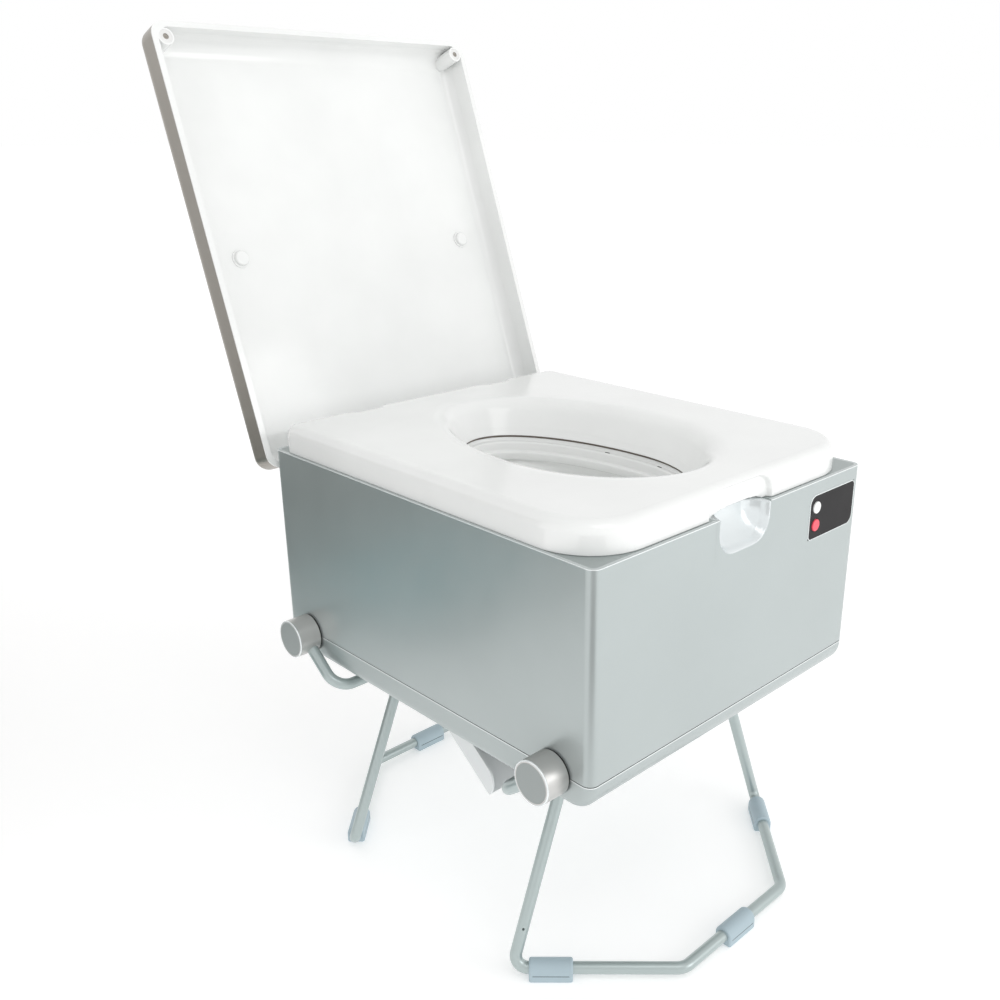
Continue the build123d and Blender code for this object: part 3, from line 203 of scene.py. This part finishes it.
SCOOP_REACH = 19.5
SCOOP_PATCH = 4.5
SCOOP_LEDGE = 24.6


def place(x, y, z):
    """A point given in millimetres from the casing's middle, in the frame's metres."""
    return (x * MM, y * MM - ORIGIN_BACK, z * MM)


def ease(value, start, end):
    """Zero before the start, one past the end, smooth between them."""
    t = min(1.0, max(0.0, (value - start) / (end - start)))
    return t * t * (3 - 2 * t)


def drawn_piece(name, points, faces, body, slot_name, replaced=()):
    """A smooth mesh piece that rides on a body and may stand for CAD nodes."""
    mesh = bpy.data.meshes.new(name)
    mesh.from_pydata(points, [], faces)
    mesh.polygons.foreach_set("use_smooth", [True] * len(mesh.polygons))
    mesh.materials.append(MATERIALS[slot_name])
    piece = bpy.data.objects.new(name, mesh)
    bpy.context.scene.collection.objects.link(piece)
    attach(piece, body)
    if replaced:
        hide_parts(*replaced)
    return piece


def loop_faces(loops, count, wrap):
    """Quads between each closed loop and the next, and from the last to the first if wrapped."""
    faces = []
    for j in range(loops if wrap else loops - 1):
        low = j * count
        high = ((j + 1) % loops) * count
        for i in range(count):
            k = (i + 1) % count
            faces.append((low + i, low + k, high + k, high + i))
    return faces


def smooth_curve(controls, steps):
    """Points on a Catmull-Rom curve through the controls."""
    padded = [controls[0]] + list(controls) + [controls[-1]]
    points = []
    for a, b, c, d in zip(padded, padded[1:], padded[2:], padded[3:]):
        for step in range(steps):
            t = step / steps
            weights = (
                (-t + 2 * t * t - t**3) / 2,
                (2 - 5 * t * t + 3 * t**3) / 2,
                (t + 4 * t * t - 3 * t**3) / 2,
                (-t * t + t**3) / 2,
            )
            points.append(tuple(sum(w * p[i] for w, p in zip(weights, (a, b, c, d))) for i in range(len(b))))
    points.append(tuple(controls[-1]))
    return points


# Seat: one dense skin from its outer wall over the puffed edge into the dished bowl and back
def seat_outline():
    """Points and outward directions round the seat's plan, finest at the lift tab."""
    front_run = SEAT_HALF_WIDTH - SEAT_FRONT_CORNER
    rear_run = SEAT_HALF_WIDTH - SEAT_REAR_CORNER
    outline = []
    x = -front_run
    while x < front_run:
        outline.append(((x, -SEAT_FRONT), (0, -1)))
        x += 0.6 if 38 < abs(x) < 49 else (1.5 if abs(x) < 62 else 4)

    def corner(centre, radius, start, steps):
        for step in range(steps):
            a = math.radians(start + 90 * step / steps)
            way = (math.cos(a), math.sin(a))
            outline.append(((centre[0] + radius * way[0], centre[1] + radius * way[1]), way))

    corner((front_run, SEAT_FRONT_CORNER - SEAT_FRONT), SEAT_FRONT_CORNER, -90, 22)
    side_low = SEAT_FRONT_CORNER - SEAT_FRONT
    side_high = SEAT_REAR - SEAT_REAR_CORNER
    for step in range(130):
        outline.append(((SEAT_HALF_WIDTH, side_low + (side_high - side_low) * step / 130), (1, 0)))
    corner((rear_run, side_high), SEAT_REAR_CORNER, 0, 12)
    for step in range(220):
        outline.append(((rear_run - 2 * rear_run * step / 220, SEAT_REAR), (0, 1)))
    corner((-rear_run, side_high), SEAT_REAR_CORNER, 90, 12)
    for step in range(130):
        outline.append(((-SEAT_HALF_WIDTH, side_high - (side_high - side_low) * step / 130), (-1, 0)))
    corner((-front_run, SEAT_FRONT_CORNER - SEAT_FRONT), SEAT_FRONT_CORNER, 180, 22)
    return outline


def notch_depth(x, y):
    """How far the hinge notches reach into the seat's rear at a place across it."""
    if y < SEAT_REAR - 40:
        return 0
    inside = min(abs(abs(x) - HINGE_X), 60)
    return NOTCH_REACH * (1 - ease(inside, NOTCH_HALF - 6, NOTCH_HALF + 2))


def inset_point(spot, way, inset):
    """The outline's point moved inwards, with the notches fading as it goes."""
    x = spot[0] - way[0] * inset
    y = spot[1] - way[1] * inset
    if way[1] > 0.5:
        y -= notch_depth(x, y) * (1 - ease(inset, 0, 30))
    return x, y


def oval_point(spot, grow):
    """The bowl's oval, grown, in the direction of an outline point."""
    deep = (SEAT_FRONT + OVAL_LINE) if spot[1] < OVAL_LINE else (SEAT_REAR - OVAL_LINE)
    t = math.atan2((spot[1] - OVAL_LINE) / deep, spot[0] / SEAT_HALF_WIDTH)
    reach = OVAL_FRONT + 0.9 * grow if spot[1] < OVAL_LINE else OVAL_REAR + 0.8 * grow
    return (OVAL_HALF_WIDTH + grow) * math.cos(t), OVAL_LINE + reach * math.sin(t)


def inside_rounded(x, z, half, height, corner, soft):
    """One inside a rounded shape that stands on the seat's lower edge, zero outside."""
    over_x = abs(x) - (half - corner)
    over_z = z - (height - corner)
    if over_x > 0 and over_z > 0:
        far = math.hypot(over_x, over_z) - corner
    else:
        far = max(over_x, over_z) - corner
    return 1 - ease(far, -soft, soft)


def front_cut(x, z):
    """How far the lift tab's recess and the finger gap cut back from the seat's front."""
    arch = ARCH_RECESS * inside_rounded(x, z, ARCH_HALF, ARCH_HEIGHT, ARCH_CORNER, 2)
    crown = GAP_HEIGHT * math.sqrt(max(0.0, 1 - (x / GAP_HALF) ** 2))
    gap = GAP_REACH * (1 - ease(z, crown - 0.5, crown + 0.3)) if crown > 0 else 0
    return max(arch, gap)


def seat_skin():
    """The loops of the seat's skin, each as long as its outline."""
    outline = seat_outline()
    top = SEAT_HEIGHT
    loops = []

    def outer_loop(inset, z):
        loop = []
        for spot, way in outline:
            x, y = inset_point(spot, way, inset)
            if way[1] < -0.5 and abs(x) < ARCH_HALF + 4:
                y = max(y, -SEAT_FRONT + front_cut(x, z))
            loop.append((x, y, z))
        loops.append(loop)

    straight = top - SEAT_EDGE
    for step in range(24):
        outer_loop(0, straight * step / 24)
    for step in range(15):
        a = math.pi / 2 * step / 14
        outer_loop(SEAT_EDGE * (1 - math.cos(a)), straight + SEAT_EDGE * math.sin(a))

    brim = (44, top)
    for step in range(1, 12):
        t = step / 12
        loop = []
        for spot, way in outline:
            a = inset_point(spot, way, SEAT_EDGE)
            b = oval_point(spot, brim[0])
            loop.append((a[0] + (b[0] - a[0]) * t, a[1] + (b[1] - a[1]) * t, top))
        loops.append(loop)

    dish = [brim, (37, 27.9), (31, 26.9), (26, 25.1), (21.5, 22.2), (17.8, 18.4), (14.5, 13.8),
            (11, 8.6), (7.4, 3.2), (3.6, -2.6), (0, -8.2)]
    for grow, z in smooth_curve(dish, 5):
        loops.append([(*oval_point(spot, grow), z) for spot, _ in outline])
    for grow, z in ((1.2, -8.2), (SEAT_WALL, -8), (SEAT_WALL + 0.6, -0.6), (6, 0), (29, 0), (30, 1),
                    (30, 20), (32, 22)):
        loops.append([(*oval_point(spot, grow), z) for spot, _ in outline])
    for inset, z in ((10, 22), (7, 19), (SEAT_WALL, 14), (SEAT_WALL, 0.4), (SEAT_WALL - 0.4, 0)):
        loop = []
        for spot, way in outline:
            near_tab = 1 - ease(abs(spot[0]), ARCH_HALF + 2, ARCH_HALF + 8) if way[1] < -0.5 else 0
            x, y = inset_point(spot, way, inset + near_tab * (GAP_REACH + 1))
            loop.append((x, y, z))
        loops.append(loop)
    points = [place(x, y, SEAT_BOTTOM + z) for loop in loops for x, y, z in loop]
    return points, loop_faces(len(loops), len(outline), True)


LUG_SPANS = ((1.9, 11.1), (-11.1, -1.9))
HINGE_Y = 222
HINGE_Z = 440
BARREL = 5


def lug_profile():
    """The outline of a hinge lug: a barrel with a tongue up to the seat's rear."""
    profile = []
    for step in range(19):
        a = math.radians(-150 + 200 * step / 18)
        profile.append((HINGE_Y + BARREL * math.cos(a), HINGE_Z + BARREL * math.sin(a)))
    profile += [(206, 452.3), (200, 452.3), (198, 451), (198, 449.5)]
    return profile


def add_lugs(points, faces):
    """Adds the two hinge lugs to the seat's skin."""
    profile = lug_profile()
    count = len(profile)
    for side, (start, end) in zip((1, -1), LUG_SPANS):
        base = len(points)
        for x in (start, end):
            points += [place(side * HINGE_X + x, y, z) for y, z in profile]
        for i in range(count):
            k = (i + 1) % count
            faces.append((base + i, base + k, base + count + k, base + count + i))
        faces.append(tuple(base + i for i in reversed(range(count))))
        faces.append(tuple(base + count + i for i in range(count)))


seat_points, seat_faces = seat_skin()
add_lugs(seat_points, seat_faces)
drawn_piece("seat_skin", seat_points, seat_faces, "seat", "white_gloss", ("seat",))


# Finger scoop: a smooth dimple in a flush patch that runs out through the rim
def scoop_depth(x, rise):
    """How deep the dimple is at a place across it and above its lower edge."""
    over_x = abs(x) - (SCOOP_HALF - SCOOP_CORNER)
    under = SCOOP_CORNER - rise
    if over_x > 0 and under > 0:
        inside = SCOOP_CORNER - math.hypot(over_x, under)
    else:
        inside = min(SCOOP_HALF - abs(x), rise)
    if inside <= 0:
        return 0
    lip = ease(inside, 0, 5)
    side = 1 - (1 - min((SCOOP_HALF - abs(x)) / 20, 1)) ** 2.0
    low = 1 - (1 - min(rise / 30, 1)) ** 1.9
    return SCOOP_REACH * side * low * (0.35 + 0.65 * lip) * min(1, inside / 1.2)


def scoop_skin():
    """The dimple's grid, with a flush border that covers the window's own corners."""
    rows = 110
    columns = 150
    bottom = RIM_HEIGHT - SCOOP_DROP
    low = bottom - SCOOP_PATCH
    high = RIM_HEIGHT - 0.6
    half = SCOOP_HALF + SCOOP_PATCH
    points = []
    for j in range(rows + 1):
        z = low + (high - low) * j / rows
        for i in range(columns + 1):
            x = half * (2 * i / columns - 1)
            points.append(place(x, scoop_depth(x, z - bottom) - BODY_HALF_DEPTH - 0.06, z))
    faces = []
    for j in range(rows):
        for i in range(columns):
            a = j * (columns + 1) + i
            faces.append((a, a + 1, a + columns + 2, a + columns + 1))
    lip = len(points)
    for i in range(columns + 1):
        x, y, z = points[rows * (columns + 1) + i]
        points.append((x, place(0, SCOOP_LEDGE - BODY_HALF_DEPTH, 0)[1], z))
    for i in range(columns):
        a = rows * (columns + 1) + i
        faces.append((a, a + 1, lip + i + 1, lip + i))
    return points, faces


scoop = drawn_piece("scoop_skin", *scoop_skin(), "housing", "grey_shell", ("finger_scoop",))
# The dimple's faces take the lighter silver, a painted highlight; the flush border keeps the casing's paint
scoop.data.materials.append(SCOOP_HIGHLIGHT_SILVER)
for face in scoop.data.polygons:
    x, y, z = face.center
    inside = scoop_depth(x / MM, z / MM - (RIM_HEIGHT - SCOOP_DROP)) > 0
    face.material_index = 1 if inside else 0


# Film cassette: a stepped ring under the seat's skirt, with four snap slots in its flange
CASSETTE_TOP = 438.6
CASSETTE_FLANGE = 435.2
SNAP_PLACES = ((-0.277, 0.988), (0.991, 0.287), (0.977, -0.238), (-0.991, 0.287), (-0.977, -0.238))


def oval_ring(grow, count=360):
    """Points round the bowl's oval, grown alike all round."""
    ring = []
    for i in range(count):
        t = 2 * math.pi * i / count
        reach = (OVAL_FRONT if math.sin(t) < 0 else OVAL_REAR) + grow
        ring.append(((OVAL_HALF_WIDTH + grow) * math.cos(t), OVAL_LINE + reach * math.sin(t)))
    return ring


cassette_steps = [
    (19.5, 415.4), (20, 416), (20, 436), (19.4, 436.6), (6, 436.9), (4.2, 437.2), (3.4, 438.2),
    (2.6, CASSETTE_TOP), (1.8, CASSETTE_TOP), (1.2, 438.1), (0.9, 436.2), (0.4, CASSETTE_FLANGE + 0.2),
    (-0.2, CASSETTE_FLANGE), (-3.4, CASSETTE_FLANGE - 0.3), (-4.4, CASSETTE_FLANGE - 0.8),
    (-4.9, CASSETTE_FLANGE - 1.9), (-5, 427), (-5.3, 425.6), (-6.2, 425), (-8, 424.6), (-8.8, 424),
    (-9, 422.8), (-9, 416), (-8.4, 415.4),
]
cassette_points = [place(x, y, z) for grow, z in cassette_steps for x, y in oval_ring(grow)]
drawn_piece(
    "cassette_ring", cassette_points, loop_faces(len(cassette_steps), 360, True), "housing", "white_gloss",
    ("film_cassette",),
)


# Painted shade: a taupe ring, shaped like a foam gasket, between the cassette's crest and the seat's skirt, a little
# back from both; it stands in for the shade in the gap there
shade_ring_steps = ((3.0, 438.0), (2.6, 439.4), (3.0, 441.0), (5.2, 441.0), (5.6, 439.4), (5.2, 437.0))
shade_ring_points = [place(x, y, z) for grow, z in shade_ring_steps for x, y in oval_ring(grow)]
shade_ring_faces = loop_faces(len(shade_ring_steps), 360, True)
shade_ring_piece = drawn_piece("skirt_gap_shade_ring", shade_ring_points, shade_ring_faces, "housing", "rubber")
shade_ring_piece.data.materials[0] = GAP_SHADE_TAUPE


def small_block(name, centre, sizes, turn, body, slot_name, softness=0.3):
    """A small block with rounded edges, turned about the upright axis."""
    x, y, z = (side * MM / 2 for side in sizes)
    points = [(a * x, b * y, c * z) for a in (-1, 1) for b in (-1, 1) for c in (-1, 1)]
    faces = [(0, 1, 3, 2), (4, 6, 7, 5), (0, 4, 5, 1), (2, 3, 7, 6), (0, 2, 6, 4), (1, 5, 7, 3)]
    mesh = bpy.data.meshes.new(name)
    mesh.from_pydata(points, [], faces)
    mesh.materials.append(MATERIALS[slot_name])
    block = bpy.data.objects.new(name, mesh)
    bpy.context.scene.collection.objects.link(block)
    block.matrix_world = Matrix.Translation(place(*centre)) @ Matrix.Rotation(turn, 4, "Z")
    rounding = block.modifiers.new("rounding", "BEVEL")
    rounding.width = softness * MM
    rounding.segments = 3
    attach(block, body)
    return block


# Snap slots: a flat dark block on the flange at each slot, painted shade for the slot's hollow
for number, (u, v) in enumerate(SNAP_PLACES, 1):
    angle = math.atan2(v, u)
    reach = (OVAL_FRONT if v < 0 else OVAL_REAR) - 1.6
    spot = ((OVAL_HALF_WIDTH - 1.6) * math.cos(angle), OVAL_LINE + reach * math.sin(angle))
    heading = math.atan2(reach * math.cos(angle), -(OVAL_HALF_WIDTH - 1.6) * math.sin(angle))
    slot_spot = (*spot, CASSETTE_FLANGE)
    small_block(f"snap_slot_shade_{number}", slot_spot, (6, 1.2, 0.5), heading, "housing", "dark_plastic")


# Control panel: a thin rounded plate with two wells for the buttons
PANEL_LEFT = 106
PANEL_WIDTH = 78
PANEL_TOP = 435
PANEL_HEIGHT = 44.5
PANEL_CORNERS = (4.5, 9, 5, 9)
WELL_X = 116.7
WELL_HEIGHTS = (422.5, 404.4)
WELL_RADIUS = 6.35


def panel_outline(inset):
    """The panel's outline in the front's plane, anticlockwise from its lower left corner."""
    low = PANEL_TOP - PANEL_HEIGHT
    centres = (
        (PANEL_LEFT, low, 1, 1, 180),
        (PANEL_LEFT + PANEL_WIDTH, low, -1, 1, 270),
        (PANEL_LEFT + PANEL_WIDTH, PANEL_TOP, -1, -1, 0),
        (PANEL_LEFT, PANEL_TOP, 1, -1, 90),
    )
    outline = []
    for (x, z, right, up, start), radius in zip(centres, PANEL_CORNERS):
        for step in range(13):
            a = math.radians(start + 90 * step / 12)
            reach = radius - inset
            outline.append((x + right * radius + reach * math.cos(a), z + up * radius + reach * math.sin(a)))
    return outline


def well_outline(height, grow):
    """The round of a button well, at its height on the panel."""
    turns = [2 * math.pi * step / 40 for step in range(40)]
    return [(WELL_X + (WELL_RADIUS + grow) * math.cos(a), height + (WELL_RADIUS + grow) * math.sin(a)) for a in turns]


def panel_skin():
    """The plate's face with its two holes, its rolled edge and the walls of the wells."""
    front = -BODY_HALF_DEPTH - 0.4
    loops = [panel_outline(0.25)] + [well_outline(height, 0.15) for height in WELL_HEIGHTS]
    flat = [[Vector((x, z, 0)) for x, z in loop] for loop in loops]
    points = [place(x, front, z) for loop in loops for x, z in loop]
    faces = [tuple(face) for face in tessellate_polygon(flat)]
    walls = (
        (loops[0], (panel_outline(0), front + 0.15), (panel_outline(0), front + 1.8)),
        (loops[1], (well_outline(WELL_HEIGHTS[0], 0), front + 0.15), (well_outline(WELL_HEIGHTS[0], 0), front + 3.8)),
        (loops[2], (well_outline(WELL_HEIGHTS[1], 0), front + 0.15), (well_outline(WELL_HEIGHTS[1], 0), front + 3.8)),
    )
    for rim, *deeper in walls:
        base = len(points)
        count = len(rim)
        points += [place(x, front, z) for x, z in rim]
        for loop, y in deeper:
            points += [place(x, y, z) for x, z in loop]
        faces += [tuple(base + k for k in face) for face in loop_faces(3, count, False)]
    return points, faces


panel = drawn_piece("panel_plate", *panel_skin(), "housing", "dark_plastic", ("control_panel",))
panel.data.polygons.foreach_set("use_smooth", [False] * len(panel.data.polygons))

# Panel border: a fine bright line round the plate, a painted highlight along its edge
border_steps = ((0.3, -0.2), (0.3, 0.08), (-0.4, 0.08), (-0.5, -0.38))
border_points = []
for inset, proud in border_steps:
    border_points += [place(x, -BODY_HALF_DEPTH - 0.4 - proud, z) for x, z in panel_outline(inset)]
border_faces = loop_faces(len(border_steps), len(panel_outline(0)), False)
border = drawn_piece("panel_border", border_points, border_faces, "housing", "light_grey_plastic")
border.data.materials[0] = PAINTED_HIGHLIGHT_EDGE


# Painted highlights on the folded edges: bright strips along the casing's top edge and the tray's top edge, where
# these edges catch the light
BEAD_PROUD = 0.08
BEAD_BACK = 0.6
BODY_CORNER = 9
SCOOP_OPENING = 38.5
NOTCH_INNER = 70.6
NOTCH_OUTER = 113.4


def body_corner(cx, cy, start):
    """Points and outward directions round one vertical corner of the casing."""
    arc = []
    for step in range(11):
        a = math.radians(start + 9 * step)
        way = (math.cos(a), math.sin(a))
        x = cx * (BODY_HALF_WIDTH - BODY_CORNER) + BODY_CORNER * way[0]
        y = cy * (BODY_HALF_DEPTH - BODY_CORNER) + BODY_CORNER * way[1]
        arc.append((x, y, way))
    return arc


def highlight_bead(name, paths, low, high):
    """A fine bright bead, a painted highlight, that follows open paths round the casing between two heights."""
    section = ((-BEAD_BACK, low), (BEAD_PROUD, low), (BEAD_PROUD, high), (-BEAD_BACK, high))
    points = []
    faces = []
    for path in paths:
        base = len(points)
        points += [place(x + w[0] * out, y + w[1] * out, z) for x, y, w in path for out, z in section]
        for i in range(len(path) - 1):
            near = base + 4 * i
            for a in range(4):
                b = (a + 1) % 4
                faces.append((near + a, near + b, near + 4 + b, near + 4 + a))
    bead = drawn_piece(name, points, faces, "housing", "grey_shell")
    bead.data.materials[0] = PAINTED_HIGHLIGHT_EDGE
    bead.data.polygons.foreach_set("use_smooth", [False] * len(faces))


right_side = body_corner(1, -1, -90) + body_corner(1, 1, 0)
left_side = body_corner(-1, 1, 90) + body_corner(-1, -1, 180)
front_way = (0, -1)
rear_way = (0, 1)
rim_paths = (
    [(SCOOP_OPENING, -BODY_HALF_DEPTH, front_way)] + right_side + [(NOTCH_OUTER, BODY_HALF_DEPTH, rear_way)],
    [(NOTCH_INNER, BODY_HALF_DEPTH, rear_way), (-NOTCH_INNER, BODY_HALF_DEPTH, rear_way)],
    [(-NOTCH_OUTER, BODY_HALF_DEPTH, rear_way)] + left_side + [(-SCOOP_OPENING, -BODY_HALF_DEPTH, front_way)],
)
highlight_bead("casing_rim_highlight", rim_paths, RIM_HEIGHT - 0.5, RIM_HEIGHT + 0.05)
highlight_bead("tray_rim_highlight", (right_side + left_side + right_side[:1],), 253.7, 254.55)

# Leg pivots: a recessed dark washer behind each hub and, on its face, a turned edge in a bright finish that is a
# painted highlight
AXIS_Y = 184
AXIS_Z = 254
HUB_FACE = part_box("front_leg_hubs")[1].x / MM


def turned_pair(name, profile, axis_y, body, slot_name, replaced=()):
    """One mesh of two rings, left and right, turned about the leg axis from (x, radius) points."""
    count = 96
    points = []
    faces = []
    for side in (-1, 1):
        base = len(points)
        for x, radius in profile:
            for step in range(count):
                a = 2 * math.pi * step / count
                points.append(place(side * x, axis_y + radius * math.cos(a), AXIS_Z + radius * math.sin(a)))
        for face in loop_faces(len(profile), count, True):
            corners = tuple(base + k for k in face)
            faces.append(corners if side > 0 else corners[::-1])
    return drawn_piece(name, points, faces, body, slot_name, replaced)


washer_profile = ((BODY_HALF_WIDTH + 0.02, 8.4), (BODY_HALF_WIDTH + 0.02, 19.6), (196.5, 19.6), (196.5, 8.4))
edge_profile = (
    (HUB_FACE - 1.4, 20.34), (HUB_FACE - 0.75, 20.32), (HUB_FACE - 0.3, 20.1), (HUB_FACE - 0.05, 19.7),
    (HUB_FACE - 0.01, 19.1), (HUB_FACE - 1.0, 19.3),
)
for end, where in ((-1, "front"), (1, "rear")):
    replaced = ("pivot_washers",) if end < 0 else ()
    turned_pair(where + "_pivot_washers", washer_profile, end * AXIS_Y, "housing", "dark_plastic", replaced)
    hub_highlight = turned_pair(where + "_hub_edge_highlights", edge_profile, end * AXIS_Y, where + "_legs", "leg_tube")
    # The turned edge takes the painted-highlight finish, a bright ring where the hub's face edge catches the light
    hub_highlight.data.materials[0] = PAINTED_HIGHLIGHT_EDGE

# Lid posts: a small screw in the middle of each ring magnet
LID_INWARD = Vector((0, -0.9416, 0.3366))
SCREW_PROFILE = ((0, -0.9), (0.9, -0.9), (1.1, -0.1), (1.5, 0), (2.9, 0), (3.2, -0.3), (3.2, -2.0))
for side, hand in ((-1, "left"), (1, "right")):
    ring_points = [v.co for v in nodes["post_magnets"].data.vertices if v.co.x * side > 0]
    reach = max(p.dot(LID_INWARD) for p in ring_points)
    rim_points = [p for p in ring_points if p.dot(LID_INWARD) > reach - 0.0002]
    middle = sum(rim_points, Vector()) / len(rim_points)
    across = Vector((1, 0, 0))
    upward = LID_INWARD.cross(across)
    points = []
    for radius, height in SCREW_PROFILE:
        for step in range(48):
            a = 2 * math.pi * step / 48
            way = across * math.cos(a) + upward * math.sin(a)
            points.append(middle + way * max(radius, 0.02) * MM + LID_INWARD * (height - 0.6) * MM)
    faces = loop_faces(len(SCREW_PROFILE), 48, False)
    drawn_piece(f"lid_post_{hand}_screw", points, faces, "lid", "silver_shell")

# Foot clips: the parting line along both flanks of each clip
FOOT_CORNER = (197.3, 131)
FOOT_NOSE = (81.5, 247.65)
CLIP_FRACTION = 0.225
CLIP_HALF_WIDTH = 9.5


def clip_lines(name, x, y, heading, body):
    """Two thin dark strips on the flanks of one clip."""
    for side in (-1, 1):
        away = (CLIP_HALF_WIDTH - 0.06) * side
        spot = (x - away * math.sin(heading), y + away * math.cos(heading), 8.2)
        where = "outer" if side > 0 else "inner"
        small_block(f"{name}_{where}_line", spot, (35, 0.16, 0.7), heading, body, "dark_plastic", 0.05)


for end, where in ((-1, "front"), (1, "rear")):
    body = where + "_legs"
    clip_lines(where + "_centre", 0, end * FOOT_NOSE[1], 0, body)
    for side, hand in ((-1, "left"), (1, "right")):
        x = side * (FOOT_CORNER[0] + CLIP_FRACTION * (FOOT_NOSE[0] - FOOT_CORNER[0]))
        y = end * (FOOT_CORNER[1] + CLIP_FRACTION * (FOOT_NOSE[1] - FOOT_CORNER[1]))
        heading = math.atan2(end * (FOOT_NOSE[1] - FOOT_CORNER[1]), side * (FOOT_NOSE[0] - FOOT_CORNER[0]))
        clip_lines(f"{where}_{hand}", x, y, heading, body)


# Floor: one pale flat sheet that reaches far behind the object
FLOOR_HALF = 40.0
floor_mesh = bpy.data.meshes.new("studio_floor")
floor_corners = [(a * FLOOR_HALF, b * FLOOR_HALF, 0) for a, b in ((-1, -1), (1, -1), (1, 1), (-1, 1))]
floor_mesh.from_pydata(floor_corners, [], [(0, 1, 2, 3)])
floor = bpy.data.objects.new("studio_floor", floor_mesh)
bpy.context.scene.collection.objects.link(floor)
floor_material, floor_tree, floor_shader = new_material("pale_floor")
floor_shader.inputs["Base Color"].default_value = (0.88, 0.88, 0.88, 1)
floor_shader.inputs["Roughness"].default_value = 0.9
floor_shader.inputs["Specular IOR Level"].default_value = 0.0
floor_shader.inputs["Emission Color"].default_value = (1, 1, 1, 1)
floor_shader.inputs["Emission Strength"].default_value = 0.31
floor_mesh.materials.append(floor_material)

# Soft studio light: an even white room, a little key from the front, and two flags that
# stay out of the picture and give the painted sides something darker to mirror
world = bpy.data.worlds.new("studio_world")
world.use_nodes = True
sky = world.node_tree
sky_direction = sky.nodes.new("ShaderNodeTexCoord").outputs["Generated"]
sky_parts = sky.nodes.new("ShaderNodeSeparateXYZ")
sky.links.new(sky_direction, sky_parts.inputs["Vector"])
sky_shade = ramp(sky, sky_parts.outputs["Z"], (1, 1, 1), (0.86, 0.86, 0.86), (0.2, 0.7))
sky.links.new(sky_shade, sky.nodes["Background"].inputs["Color"])
sky.nodes["Background"].inputs["Strength"].default_value = 1.0
bpy.context.scene.world = world


def softbox(name, place_at, target, size, power, colour=(1, 1, 1)):
    """A large square light that faces a target."""
    light = bpy.data.lights.new(name, "AREA")
    light.energy = power
    light.size = size
    light.color = colour
    holder = bpy.data.objects.new(name, light)
    holder.location = place_at
    holder.rotation_euler = (Vector(target) - Vector(place_at)).to_track_quat("-Z", "Y").to_euler()
    bpy.context.scene.collection.objects.link(holder)


def card(name, corners, shade, mirrored_only=False):
    """A flat studio card of one shade, left out of the picture."""
    mesh = bpy.data.meshes.new(name)
    mesh.from_pydata(corners, [], [tuple(range(len(corners)))])
    sheet = bpy.data.objects.new(name, mesh)
    bpy.context.scene.collection.objects.link(sheet)
    material, tree, shader = new_material(name + "_shade")
    shader.inputs["Base Color"].default_value = (*shade, 1)
    shader.inputs["Roughness"].default_value = 0.9
    mesh.materials.append(material)
    sheet.visible_camera = False
    if mirrored_only:
        sheet.visible_diffuse = False
        sheet.visible_shadow = False


softbox("key_light", (0.9, -2.6, 1.1), (0, 0, 0.4), 1.4, 12)
softbox("bowl_light", (-0.5, -1.3, 1.9), (0, 0, 0.44), 0.9, 3)
FLAG_SPOTS = [(-0.85, 0.3, 0.02), (-1.1, 1.9, 0.02), (-1.1, 1.9, 0.9), (-0.85, 0.3, 0.9)]
GREEN_SPOTS = [(-1.4, 0.36), (-0.56, 0.36), (-0.28, 1.35), (-0.2, 1.8), (-1.4, 1.8)]
BLUE_SPOTS = [(-0.92, 0.45), (-0.58, 0.45), (-0.58, 0.78), (-0.92, 0.78)]
CORNER_SPOTS = [(-1.3, -0.9), (-0.7, -1.5), (-0.25, -1.0), (-0.8, -0.45)]
card("left_flag", FLAG_SPOTS, (0.17, 0.165, 0.15))
card("green_card", [(x, y, 0.002) for x, y in GREEN_SPOTS], (0.03, 0.075, 0.062), True)
card("blue_card", [(x, y, 0.004) for x, y in BLUE_SPOTS], (0.12, 0.58, 0.66), True)
card("corner_card", [(x, y, 0.003) for x, y in CORNER_SPOTS], (0.04, 0.026, 0.016), True)

# Camera at the photograph's viewpoint, solved from the casing's edges
CAMERA_PLACE = (-0.7316, -0.7254 - ORIGIN_BACK, 0.7639)
CAMERA_YAW = 45.36
CAMERA_PITCH = 20.20
CAMERA_ROLL = 0.29
FOCAL_PIXELS = 1057.5
PHOTO_PIXELS = 1000
CENTRE_PIXEL = (564.3, 515.3)
SENSOR = 36.0
camera_data = bpy.data.cameras.new("photo_camera")
camera_data.sensor_width = SENSOR
camera_data.lens = SENSOR * FOCAL_PIXELS / PHOTO_PIXELS
camera_data.shift_x = (PHOTO_PIXELS / 2 - CENTRE_PIXEL[0]) / PHOTO_PIXELS
camera_data.shift_y = (CENTRE_PIXEL[1] - PHOTO_PIXELS / 2) / PHOTO_PIXELS
camera = bpy.data.objects.new("photo_camera", camera_data)
turn = Matrix.Rotation(math.radians(-CAMERA_YAW), 4, "Z")
tilt = Matrix.Rotation(math.radians(90 - CAMERA_PITCH), 4, "X")
roll = Matrix.Rotation(math.radians(CAMERA_ROLL), 4, "Z")
camera.matrix_world = Matrix.Translation(CAMERA_PLACE) @ turn @ tilt @ roll
bpy.context.scene.collection.objects.link(camera)
bpy.context.scene.camera = camera
bpy.context.scene.view_settings.view_transform = "Standard"

bpy.context.view_layer.update()
